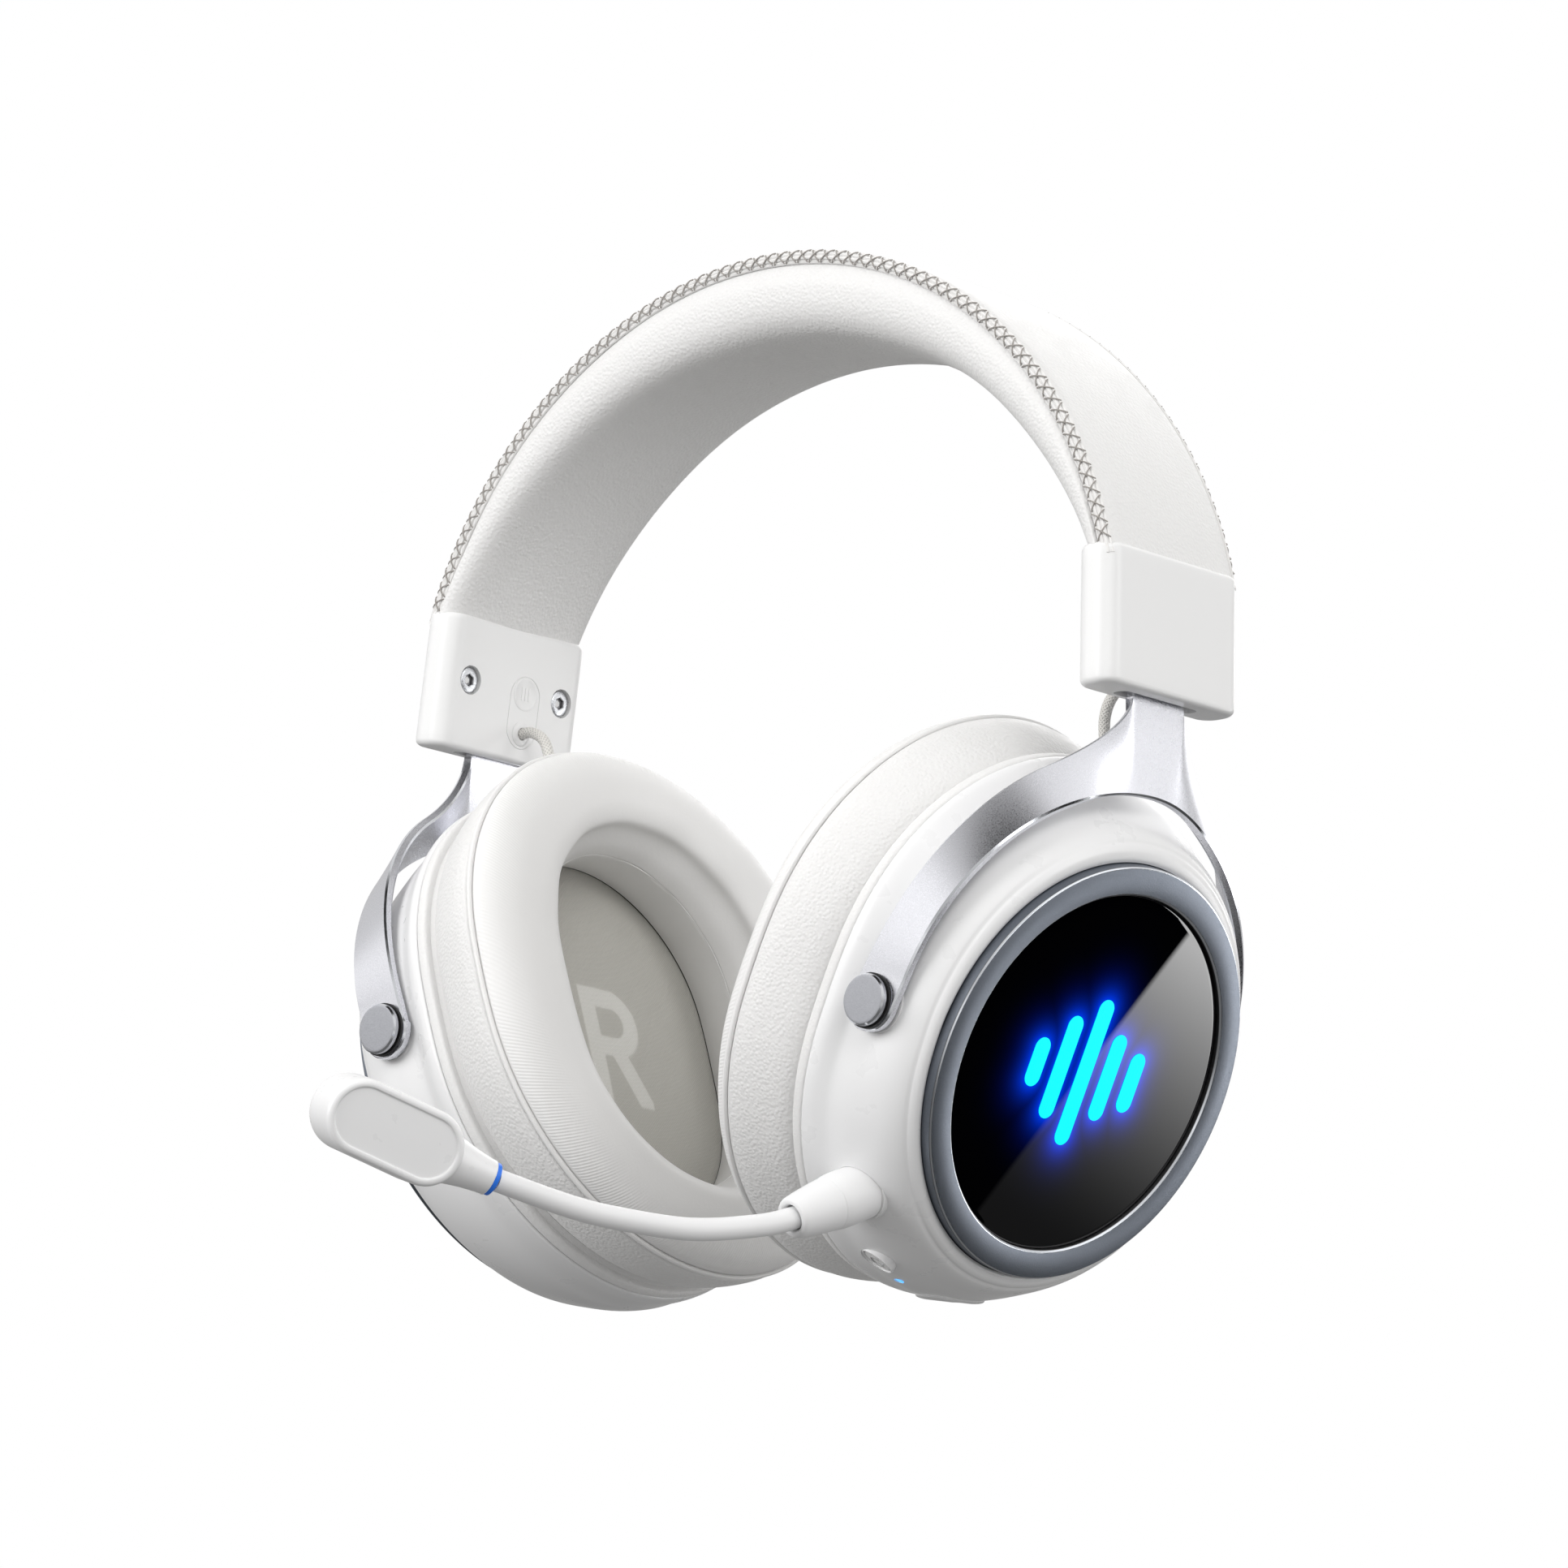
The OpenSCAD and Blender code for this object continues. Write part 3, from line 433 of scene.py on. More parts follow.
def ribbed_leather(name):
    """Smooth leather with slanting ribs where the mesh asks for them."""
    m = smooth_leather(name)
    along, across = m.uv()
    slant = m.math("ADD", m.math("MULTIPLY", along, 2 * math.pi / 0.7),
                   m.math("MULTIPLY", across, 2 * math.pi / 1.3))
    ribs = m.math("MULTIPLY_ADD", m.math("SINE", slant), 0.5, 0.5)
    m.bump(m.math("MULTIPLY", ribs, m.attribute("ribs")), 0.04)
    return m


def satin_metal(name, color, rough=0.34, grain=0.22, depth=0.008):
    return surface(name, color, rough, (grain * 1.3, 2, 0.93, 1.04), (grain, 3, 0.06, 0.1),
                   (grain, 2, depth), 1.0)


def polished(name, color=(0.82, 0.84, 0.88), rough=0.16):
    return surface(name, color, rough, None, (2.5, 3, 0.03, 0.06), (0.6, 2, 0.003), 1.0)


def matte(name, color, rough=0.6, grain=0.4, depth=0.015):
    return surface(name, color, rough, (5, 3, 0.88, 1), (2, 3, 0.06, 0.08), (grain, 2, depth))


def woven(name, ground, thread, pitch=0.55):
    """Speaker cloth: a plain weave, lighter where its side letter is printed."""
    m = surface(name, ground, 0.85, wear=(3, 2, 0.05, 0.05), Sheen_Weight=0.25, Sheen_Roughness=0.6)
    x, y = m.uv()
    weave = m.ramp(m.math("MULTIPLY", m.wave(x, pitch), m.wave(y, pitch)), -1, 1)
    base = m.mix(m.ramp(weave, 0, 1, 0.25, 1), shade(ground, 0.72), shade(ground))
    print_strength = m.math("MULTIPLY", m.attribute("letter"), m.ramp(weave, 0, 1, 0.5, 0.95))
    m.tint(print_strength, base, shade(thread))
    m.bump(weave, 0.07)
    m.bump(m.noise(9, 2), 0.12)
    return m


def braided(name, color=(0.66, 0.645, 0.615), pitch=0.75):
    m = surface(name, color, 0.75, wear=(1, 2, 0.05, 0.07), Sheen_Weight=0.3, Sheen_Roughness=0.5)
    x, y = m.uv()
    strands = m.ramp(m.math("MAXIMUM", *(m.wave(m.math(op, x, y), pitch)
                                         for op in ("ADD", "SUBTRACT"))), -1, 1)
    m.tint(strands, shade(color, 0.72), shade(color, 1.12))
    m.bump(strands, 0.12)
    return m


def glowing(name, color, power, base=(0.02, 0.02, 0.02)):
    m = surface(name, base, 0.3, None, (2, 2, 0.04, 0.04), (0.6, 2, 0.003), Specular_IOR_Level=0.1)
    m.put(m.b, Emission_Color=shade(color),
          Emission_Strength=m.ramp(m.noise(7, 2), 0.3, 0.7, power * 0.95, power))
    return m


def lit_glass(name):
    """Black glass with the lit mark's halo bleeding through round it."""
    m = surface(name, (0.001, 0.001, 0.0015), 0.006, None, (12, 3, 0.002, 0.002), (24, 1, 0.0002),
                Specular_IOR_Level=0.5, IOR=1.8)
    m.put(m.b, Emission_Color=(0, 0.05, 1, 1),
          Emission_Strength=m.math("MULTIPLY", m.attribute("halo"), 0.8))
    return m


SHELL = gloss_white("shell_white", rough=0.3)
HOUSING = gloss_white("housing_white", (0.80, 0.80, 0.80), 0.32, 0.2)
PART_WHITE = gloss_white("part_white", (0.79, 0.79, 0.79), 0.34, 0.15)
BOOM_WHITE = gloss_white("boom_white", (0.80, 0.80, 0.805), 0.42, 0.05)
BAND_LEATHER = pebbled("band_leather")
PAD_LEATHER = pebbled("pad_leather", cell=0.64, depth=0.09)
PAD_FRONT = ribbed_leather("pad_front")
PIPING = smooth_leather("piping_leather")
RIM_LEATHER = pebbled("rim_leather", cell=0.5, depth=0.05, rough=0.48)
SEAM_STRIP = matte("seam_strip", (0.78, 0.77, 0.76), 0.5, 0.35, 0.03)
THREAD = matte("stitch_thread", (0.36, 0.34, 0.32), 0.7, 0.12, 0.03)
SATIN = satin_metal("satin_alloy", (0.74, 0.745, 0.79), 0.29)
BRIGHT = polished("bright_edge")
CAP_SATIN = satin_metal("cap_satin", (0.55, 0.56, 0.6), 0.4, 0.3, 0.015)
SLATE = satin_metal("slate_alloy", (0.25, 0.275, 0.32), 0.42, 0.24, 0.02)
# dark slate for the bezel's sides, also used as painted shade inside the screws' hexagon sockets
SLATE_SIDE_AND_SOCKET_SHADE = satin_metal("slate_side", (0.27, 0.27, 0.28), 0.38, 0.4, 0.01)
SLATE_EDGE = polished("slate_edge", (0.8, 0.83, 0.88), 0.2)
STEEL = satin_metal("steel", (0.5, 0.51, 0.53), 0.28, 0.3, 0.008)
# dark rubber, also used as painted shade in the gap round the bezel and in the cracks round the pivot
# caps
DARK_RUBBER_AND_CRACK_SHADE = matte("dark_rubber", (0.012, 0.012, 0.013), 0.5)
GLASS = lit_glass("face_glass_black")
MARK = glowing("lit_mark", (0.0, 1.0, 1.0), 1.03, (0, 0.01, 0.01))
LED = glowing("status_light", (0.10, 0.42, 1.0), 1.6)
BLUE = matte("accent_blue", (0.02, 0.19, 0.85), 0.32)
CLOTH = woven("speaker_weave", (0.50, 0.49, 0.45), (0.72, 0.715, 0.68))
BRAID = braided("cable_braid")
BLACK_PLASTIC = matte("black_plastic", (0.02, 0.02, 0.021), 0.5)
GREY_NYLON = matte("grey_nylon", (0.42, 0.42, 0.42), 0.5)
BOARD = matte("circuit_board", (0.02, 0.13, 0.06), 0.45)
FOIL = satin_metal("battery_foil", (0.6, 0.61, 0.64), 0.3, 2.0, 0.05)
FILM = matte("diaphragm_film", (0.5, 0.45, 0.33), 0.35)
GOLD = polished("plug_gold", (0.83, 0.62, 0.28), 0.2)

CAD_LOOKS = {
    "headband_spring": STEEL, "slider_guide": GREY_NYLON, "cable_grommet": PART_WHITE,
    "pivot_washers": DARK_RUBBER_AND_CRACK_SHADE, "light_mark": MARK, "led_board": BOARD,
    "baffle": BLACK_PLASTIC, "driver": SLATE_SIDE_AND_SOCKET_SHADE, "diaphragm": FILM, "pad_ring": BLACK_PLASTIC,
    "main_board": BOARD, "battery": FOIL, "status_led": LED, "volume_wheel": PART_WHITE,
    "usb_socket": STEEL, "mic_socket": PART_WHITE, "mic_plug": GOLD, "mic_accent_ring": BLUE,
}


def dress_cad_nodes():
    """Gives every CAD node that stays in view its procedural material."""
    for name, obj in NODES.items():
        for key, look in CAD_LOOKS.items():
            if name.startswith(key):
                obj.data.materials.clear()
                obj.data.materials.append(look.m)
                obj.data.polygons.foreach_set("use_smooth", [True] * len(obj.data.polygons))
                obj.data.set_sharp_from_angle(angle=math.radians(30))


# ---------------------------------------------------------------- headband

BAND_HALF = 18.0           # half width of the band
ARCH_END = math.radians(74.0)


def band_depth(turn):
    """Thickness of the band along a ray from the arch's centre."""
    under_z = -UNDER_R - ARCH_Z
    reach = under_z * np.cos(turn) + np.sqrt(UNDER_R ** 2 - (under_z * np.sin(turn)) ** 2)
    return ARCH_R - reach


def band_point(turn, y, depth):
    r = ARCH_R - depth
    x, z = r * np.sin(turn), ARCH_Z + r * np.cos(turn)
    return np.stack(np.broadcast_arrays(x, y, z), -1)


def band_section(thick):
    """Half outline of the padded band from the seam to the middle of its underside."""
    b = BAND_HALF
    return vec([(b - 1.9, 0.9), (b - 1.4, 1.7), (b - 0.75, 2.7), (b - 0.05, 0.26 * thick + 1.0),
                (b + 0.3, 0.46 * thick), (b - 0.1, 0.68 * thick), (b - 1.5, 0.85 * thick),
                (b - 4.2, 0.955 * thick), (b - 8.5, 0.995 * thick), (b - 13.5, thick + 0.25),
                (0, thick + 0.35)])


def make_headband():
    turns = np.linspace(-ARCH_END, ARCH_END, 181)
    rng = np.random.default_rng(4)
    rows = []
    for t in turns:
        half = curve_through(band_section(band_depth(t)), 5)
        whole = np.concatenate([half, half[-2::-1] * vec((-1, 1))])
        rows.append(band_point(t, whole[:, 0], whole[:, 1]))
    p = np.array(rows)
    # faint hand-made unevenness of the padding, never at the seams
    n = p.shape[1]
    across = np.arange(n) / (n - 1)
    away = smoothstep(np.minimum(across, 1 - across) / 0.16)
    for _ in range(7):
        a, b, c = rng.uniform(3, 11), rng.uniform(1, 4), rng.uniform(0, 6.28)
        wave = np.sin(a * turns[:, None] + b * 6.28 * across[None, :] + c) * 0.05
        centre = vec((0, 0, ARCH_Z)) - p * vec((1, 0, 1))
        p = p + unit(centre) * (wave * away)[..., None]
    s = Shape().grid(p)
    top = np.array([band_point(t, np.linspace(-16.7, 16.7, 9), 1.4) for t in turns])
    s.grid(top)
    s.grid(np.stack([p[:, 0], top[:, -1]], 1))
    s.grid(np.stack([top[:, 0], p[:, -1]], 1))
    for end in (0, -1):
        s.fan(np.concatenate([p[end], top[end]]))
    pad = add(s, "headband_pad", "headband", [BAND_LEATHER],
              replaces=("headband_cushion",), sharp=50)

    # outer leather strip, slightly crowned, its edges turned under at the seams
    ys = np.linspace(-1, 1, 41)
    edge = smoothstep((np.abs(ys) - 0.93) / 0.07)
    depth = -0.25 * (1 - ys ** 2) + 0.35 * edge
    outer = np.array([band_point(t, ys * (BAND_HALF - 1.35), depth) for t in turns])
    inner = np.array([band_point(t, ys * (BAND_HALF - 1.35), depth * 0 + 1.45) for t in turns])
    s = Shape().grid(outer).grid(inner)
    s.grid(np.stack([outer[:, 0], inner[:, 0]], 1)).grid(np.stack([inner[:, -1], outer[:, -1]], 1))
    for end in (0, -1):
        s.fan(np.concatenate([outer[end], inner[end][::-1]]))
    add(s, "headband_outer_leather", "headband", [BAND_LEATHER],
        replaces=("headband_cover",), sharp=50)
    for y_side, name in ((-1, "front"), (1, "rear")):
        make_seam(y_side, name, turns)


def make_seam(y_side, name, turns):
    """Laced edge: thin cords round a bead at the corner with crossed threads over them."""
    def over(turn, across, reach):
        """A point round the bead; across runs from the side wall (-1) to the top (1)."""
        a = math.radians(14) + across * math.radians(62)
        return band_point(turn, y_side * (BAND_HALF - 1.45 + reach * np.cos(a)),
                          1.6 - reach * np.sin(a))

    strip = Shape()
    tube(strip, over(turns, 0, 0), 1.3, 16)
    for across in (-0.9, -0.3, 0.3, 0.9):
        tube(strip, over(turns, across, 1.2), 0.4, 8)
    add(strip, "headband_seam_cords_" + name, "headband", [SEAM_STRIP])

    threads = Shape()
    end = ARCH_END - 0.03
    count = round(2 * end * ARCH_R / 2.9)
    pitch = 2 * end / count
    step = np.linspace(0, 1, 9)
    for i in range(count):
        start = -end + i * pitch
        for way in (-1, 1):
            turn = start + pitch * (0.05 + 0.9 * smoothstep(step))
            reach = 1.68 - 0.5 * np.abs(2 * step - 1) ** 6 + (0.05 if way > 0 else -0.04)
            tube(threads, over(turn, way * (2 * step - 1) * 1.05, reach), 0.135, 6)
    add(threads, "headband_stitches_" + name, "headband", [THREAD])


# ---------------------------------------------------------------- slider housings

HOUSE_T, HOUSE_W, HOUSE_H = 8.4, 37.0, 25.4
CABLE_Y, CABLE_K, BADGE_K = 2.6, -7.0, 0.6
SCREW_Y, SCREW_K = 12.4, 0.6


def rounded_outline(width, height, radius, n=28):
    """Closed rectangle with round corners; n points to a corner."""
    radius = min(radius, width / 2 - 1e-3, height / 2 - 1e-3)
    out = []
    for i, (sx, sy) in enumerate(((1, 1), (-1, 1), (-1, -1), (1, -1))):
        a = np.linspace(0, np.pi / 2, n) + i * np.pi / 2
        out.append(np.stack([sx * (width / 2 - radius) + radius * np.cos(a),
                             sy * (height / 2 - radius) + radius * np.sin(a)], -1))
    return np.concatenate(out)


def soft_box(shape, put, width, height, half, radius, edge):
    """A rounded rectangle swept between -half and half, with rounded ends."""
    turn = np.linspace(0, np.pi / 2, 7)
    inset, reach = edge * (1 - np.sin(turn)), half - edge + edge * np.cos(turn)
    middle = np.linspace(edge - half, half - edge, 12)[1:-1]
    rings = []
    for d, k in [*zip(inset, -reach), *((0, k) for k in middle), *zip(inset[::-1], reach[::-1])]:
        o = rounded_outline(width - 2 * d, height - 2 * d, radius - d * 0.6)
        rings.append(put(o[:, 0], o[:, 1], k))
    return shape.solid(np.array(rings))


def make_housing(side_name):
    body = soft_box(Shape(), block, HOUSE_T, HOUSE_W, HOUSE_H / 2, 3.4, 1.15)
    cut = Shape()
    inner = -HOUSE_T / 2
    for y in (-SCREW_Y, SCREW_Y):
        peg(cut, block(0, y, SCREW_K), BLOCK_N, 2.75, inner - 1, inner + 1.05)
    peg(cut, block(0, CABLE_Y, CABLE_K), BLOCK_N, 1.9, inner - 1, inner + 2.2)
    # slot that the fork's stem runs in
    soft_box(cut, lambda o, y, k: block(o - 0.6, y, k - HOUSE_H / 2), 3.4, 21.0, 7.0, 1.6, 0.1)
    add(body, "slider_housing_{}_body", "headband", [HOUSING], side_name,
        ("slider_housing_{}", "slider_cover_{}"), cut=cut)

    # raised hairline round the badge and the cable's outlet
    loop_r, loop_h = 3.9, 5.9
    o = rounded_outline(2 * loop_r, loop_h + 2 * loop_r, loop_r, 25)
    line = block(inner - 0.02, CABLE_Y + o[:, 0], o[:, 1] - loop_h / 2)
    s = tube(Shape(), line, 0.11, 8, closed=True)
    lathe(s, block(inner, CABLE_Y, BADGE_K), -BLOCK_N,
          [(3.2, -0.3), (3.2, 0.06), (3.0, 0.13), (2.75, 0.13), (2.6, 0.05), (0, 0.03)], 64)
    bar = rounded_outline(0.45, 2.6, 0.2, 5)
    for y in (-0.9, 0, 0.9):
        rim = [block(inner - h, CABLE_Y + y + bar[:, 0], BADGE_K + bar[:, 1]) for h in (-0.05, 0.13)]
        s.grid(np.array(rim), ring=True).fan(rim[1])
    add(s, "housing_badge_{}", "headband", [HOUSING], side_name,
        ("badge_ring_{}",))
    make_screws(side_name, inner)


def make_screws(side_name, inner):
    """Button-head screws with hexagon sockets, sunk in the housing's inner face."""
    s = Shape()
    turn = np.linspace(0, 2 * np.pi, 48, endpoint=False)
    hexagon = 1.15 * math.cos(math.pi / 6) / np.cos((turn % (math.pi / 3)) - math.pi / 6)
    levels = [(2.45, -1.0), (2.45, -0.62), (2.36, -0.5), (2.2, -0.42), (1.75, -0.36),
              (hexagon * 1.14, -0.36), (hexagon, -0.46), (hexagon, -1.0), (hexagon * 0.02, -1.12)]
    for y in (-SCREW_Y, SCREW_Y):
        q = np.array([block(inner - h, y + r * np.sin(turn), SCREW_K + r * np.cos(turn))
                      for r, h in levels])
        # the sockets' walls and floor take the darker slate metal: painted shade in the recess
        s.grid(q, ring=True, cols=np.array([0, 0, 0, 0, 0, 0, 1, 1])[:, None])
    add(s, "housing_screws_{}", "headband", [STEEL, SLATE_SIDE_AND_SOCKET_SHADE], side_name,
        ("slider_screws_{}",))


# ---------------------------------------------------------------- forks

HOOP_R, FORK_T, ARM_W = 45.4, 1.8, 10.6
STEM_W, STEM_FACE, STEM_LOW, STEM_TOP = 14.0, 0.3, -13.0, 14.5
STOP_W, CHAMFER = 17.0, 0.34
STEM_PHI, ROOT_PHI = math.radians(5), math.radians(26)


def fork_edge_a(phi):
    """Face side edge of the sheet."""
    c = max(math.cos(phi) - 0.12, 0) / 0.88
    r = HOOP_R + (1.9 * (1 - (1 - c) ** 3) if phi < 0 else 1.9 * c ** 10)
    u = PIVOT_U + ARM_W / 2 + 1.5 * math.cos(phi)
    return cup(u, r * math.sin(phi), r * math.cos(phi))


def fork_arm(phi):
    c = max(math.cos(phi), 0)
    r = HOOP_R + 9 * max(c - 0.06, 0) ** 1.5
    return cup(PIVOT_U - ARM_W / 2 + 0.3 + 4.4 * c + 1.2 * c ** 3, r * math.sin(phi), r * math.cos(phi))


def fork_edge_b(phi):
    """Pad side edge: along the stem's foot, round the fillet and down the arm."""
    way, size = (1 if phi >= 0 else -1), abs(phi)
    if size <= STEM_PHI:
        return block(STEM_FACE, STEM_W / 2 * phi / STEM_PHI, STEM_LOW)
    if size >= ROOT_PHI:
        return fork_arm(phi)
    f = (size - STEM_PHI) / (ROOT_PHI - STEM_PHI)
    top = block(STEM_FACE, way * STEM_W / 2, STEM_LOW)
    drop = top + vec((0.3, way * 0.3, -5))
    end = fork_arm(way * ROOT_PHI)
    back = end + unit(fork_arm(way * (ROOT_PHI - 0.02)) - end) * 9
    return (top * (1 - f) ** 3 + 3 * drop * (1 - f) ** 2 * f + 3 * back * (1 - f) * f ** 2
            + end * f ** 3)


def fork_surface():
    """Outer face of the bent sheet as rows round the hoop and columns across it."""
    marks = (-math.pi / 2, -ROOT_PHI, -STEM_PHI, STEM_PHI, ROOT_PHI, math.pi / 2)
    phis = np.unique(np.concatenate([np.linspace(a, b, n) for a, b, n in
                                     zip(marks, marks[1:], (46, 40, 15, 40, 46))]))
    t = np.linspace(0, 1, 15)[:, None]
    rows, ramps = [], []
    for phi in phis:
        a, b = fork_edge_a(phi), fork_edge_b(phi)
        span = b - a
        near = 1 - smoothstep((abs(phi) - STEM_PHI) / (ROOT_PHI - STEM_PHI) * 1.15)
        m1 = span * (1 - near) + BLOCK_K * np.linalg.norm(span) * near * 1.25
        h = (2 * t ** 3 - 3 * t ** 2 + 1) * a + (t ** 3 - 2 * t ** 2 + t) * span
        rows.append(h + (3 * t ** 2 - 2 * t ** 3) * b + (t ** 3 - t ** 2) * m1)
        ramps.append(float(smoothstep((abs(phi) - STEM_PHI) / math.radians(2.5))))
    # round tips below the pivots
    tips = np.linspace(0, math.pi / 2, 16)[1:]
    rear, front = ([cup(PIVOT_U + max(ARM_W / 2 * math.cos(tau), 0.02) * (1 - 2 * t[:, 0]),
                        way * HOOP_R, -ARM_W / 2 * math.sin(tau)) for tau in tips] for way in (1, -1))
    return np.array(front[::-1] + rows + rear), np.pad(ramps, len(tips), constant_values=1)


def make_fork(side_name):
    q, ramp = fork_surface()
    n = unit(np.cross(np.gradient(q, axis=0), np.gradient(q, axis=1)))
    if n[len(n) // 2, 7] @ CUP_U > 0:
        n = -n                                  # inwards, towards the cup
    # chamfers along both edges, none on the pad side where the stem joins
    c = np.minimum(CHAMFER, 0.3 * np.linalg.norm(q[:, -1] - q[:, 0], axis=1))[:, None]
    c_b = c * ramp[:, None]
    first, last = q[:, 0], q[:, -1]
    face, back = q.copy(), q + n * FORK_T
    face[:, 0] += unit(q[:, 1] - first) * c
    face[:, -1] -= unit(last - q[:, -2]) * c_b
    back[:, 0], back[:, -1] = face[:, 0] + n[:, 0] * FORK_T, face[:, -1] + n[:, -1] * FORK_T
    corners = [(start + n[:, i] * depth)[:, None] for start, i, depth in
               ((last, -1, c_b), (last, -1, FORK_T - c_b), (first, 0, FORK_T - c), (first, 0, c))]
    ring = np.concatenate([face, *corners[:2], back[:, ::-1], *corners[2:]], 1)
    m = face.shape[1]
    s = Shape().solid(ring, cols=np.isin(np.arange(2 * m + 4), (m - 1, m + 1, 2 * m + 1, 2 * m + 3)))
    # stem plate that runs up into the housing, with its stop at the top
    for width, low, high in ((STEM_W, STEM_LOW, STEM_TOP), (STOP_W, STEM_TOP - 3, STEM_TOP)):
        o = rounded_outline(FORK_T, width, CHAMFER, 2)
        s.solid(np.array([block(STEM_FACE - FORK_T / 2 + o[:, 0], o[:, 1], k) for k in (low, high)]),
                cols=[1, 0] * 4)
    add(s, "fork_sheet_{}", "fork_{}", [SATIN, BRIGHT], side_name, ("fork_{}",), sharp=28)


def make_pivot_caps(side_name):
    cap = [(0, 45.9), (4.25, 45.9), (4.3, 46.0), (4.3, 46.25), (4.35, 46.3), (4.55, 46.35),
           (4.6, 46.42), (4.6, 47.05), (4.32, 47.4), (4.24, 47.42), (3.9, 47.43), (0, 47.46)]
    washer = [(2.52, 45.42), (4.75, 45.42), (4.85, 45.52), (4.85, 45.8), (4.75, 45.88), (2.52, 45.88)]
    s = Shape()
    for axis in (-CUP_V, CUP_V):
        # the cap's foot and the washer's flat faces are dark: painted shade in the cracks between cap,
        # washer and shell; the washer's rim stays satin
        lathe(s, cup(PIVOT_U, 0, 0), axis, cap, 96, [2, 2, 2, 2, 1, 0, 0, 1, 0, 0, 0])
        lathe(s, cup(PIVOT_U, 0, 0), axis, washer, 96, [2, 1, 0, 1, 2])
        peg(s, cup(PIVOT_U, 0, 0), axis, 2.5, 40.7, 46.0, 48, 1)
    add(s, "pivot_caps_{}", "cup_{}", [CAP_SATIN, BRIGHT, DARK_RUBBER_AND_CRACK_SHADE], side_name,
        ("pivot_bolts_{}",), sharp=28)


# ---------------------------------------------------------------- cups

TURNS = np.linspace(0, 2 * np.pi, 216, endpoint=False)
FACE_W = -1.9              # the bezel's centre along the cup
GLASS_R, BEZEL_R = 32.6, 38.0
GLASS_OUT, BEZEL_OUT = 19.9, 20.9


def oval(half, top, bottom):
    """Oval outline: half width, reach up and reach down. Returns (v, w)."""
    c, s = np.cos(TURNS), np.sin(TURNS)
    lean = c / np.sqrt(c * c + 0.015)
    return half * s, half * c + np.where(c > 0, top - half, bottom - half) * lean


def oval_rows(levels):
    """Rows of points for (u, half, top, bottom) levels."""
    return np.array([cup(u, *oval(half, top, bottom)) for u, half, top, bottom in levels])


def make_cup_shell(side_name):
    outer = curve_through([
        (-2.9, 44.7, 49.0, 50.3), (-2.7, 44.95, 49.25, 50.55), (-2.2, 45.05, 49.35, 50.65),
        (-1.2, 44.95, 49.2, 50.6), (-0.2, 44.6, 48.75, 50.5),
        (0.9, 44.0, 48.2, 50.3), (2.1, 43.35, 47.6, 50.05),
        (3.2, 43.08, 47.2, 49.85), (5, 43, 46.6, 49.6), (7, 43, 45.8, 49.0),
        (9, 42.9, 44.9, 48.2), (11, 42.85, 43.95, 47.2), (13, 42.7, 42.9, 46.1),
        (14.8, 42.3, 41.95, 45.1), (16.2, 41.7, 41.05, 44.2), (17.1, 41.05, 40.3, 43.45),
        (17.5, 40.55, 39.75, 42.9)], 4)
    lip = curve_through([
        (17.5, 40.55, 39.75, 42.9), (17.7, 40.35, 39.5, 42.65), (18.15, 40.1, 39.1, 42.35),
        (18.6, 39.65, 38.4, 41.8), (18.82, 39.1, 37.6, 41.15), (18.85, 38.65, 36.95, 40.65),
        (18.7, 38.3, 36.45, 40.25), (18.4, 38.12, 36.2, 40.05), (16.6, 38.1, 36.15, 40.0)], 4)
    inside = [(15.4, 38.1, 36.15, 40.0), (15.4, 34.6, 32.7, 36.5), (13.9, 34.6, 32.7, 36.5),
              (12.0, 38.5, 38.5, 41), (5, 41, 44.6, 47.6), (-1.0, 41.5, 45.8, 48.0),
              (-2.9, 42.2, 46.5, 47.8)]
    s = Shape().grid(oval_rows(np.concatenate([outer, lip[1:], vec(inside)])), loop=True, ring=True)
    cut = peg(Shape(), lift(LOWER_ROUTE[-1]), unit(vec((0.34, 0, 0.94))), 1.75, -6, 5, 32)
    if side_name == "left":
        cut_controls(cut)
    add(s, "cup_shell_body_{}", "cup_{}", [SHELL], side_name,
        ("cup_shell_{}",), cut=cut, sharp=34)
    for way, end in ((-1, "front"), (1, "rear")):
        edge = curve_through([(5.9, 41.2), (5.5, 42.2), (5.25, 42.8), (5.0, 43.0), (2.5, 43.0)], 4)
        boss = lathe(Shape(), cup(PIVOT_U, 0, 0), CUP_V * way, edge, 72)
        add(boss, "pivot_boss_{}_" + end, "cup_{}", [SHELL], side_name)


# Controls on the left cup's wall, at angles from straight down, positive to the back.
CONTROL_U = 6.0
BUTTON_TURN, LED_TURN, PORT_TURN, WHEEL_TURN = -26, -16, 3, 52


def wall(turn_deg, reach, across=0.0, u=0.0):
    """A point on the lower wall: reach from the wall's middle, across round it, u along."""
    a = math.radians(turn_deg)
    v = reach * math.sin(a) + across * math.cos(a)
    w = -5 - reach * math.cos(a) + across * math.sin(a)
    return cup(CONTROL_U + u, v, w)


def wall_axis(turn_deg):
    a = math.radians(turn_deg)
    return CUP_V * math.sin(a) - CUP_W * math.cos(a)


def stadium_peg(shape, turn_deg, length, height, low, high):
    o = rounded_outline(height, length, height / 2 - 0.01, 10)
    shape.solid(np.array([wall(turn_deg, r, o[:, 1], o[:, 0]) for r in (low, high)]))


def mic_base():
    """Where the microphone's collar meets its socket, on the plug's axis."""
    plug_low, plug_long = -11.6, 8.7
    lo, hi = node_box("mic_plug")
    return (lo + hi) / 2 - MIC_AXIS * (plug_low + plug_long / 2)


MIC_BASE = mic_base()


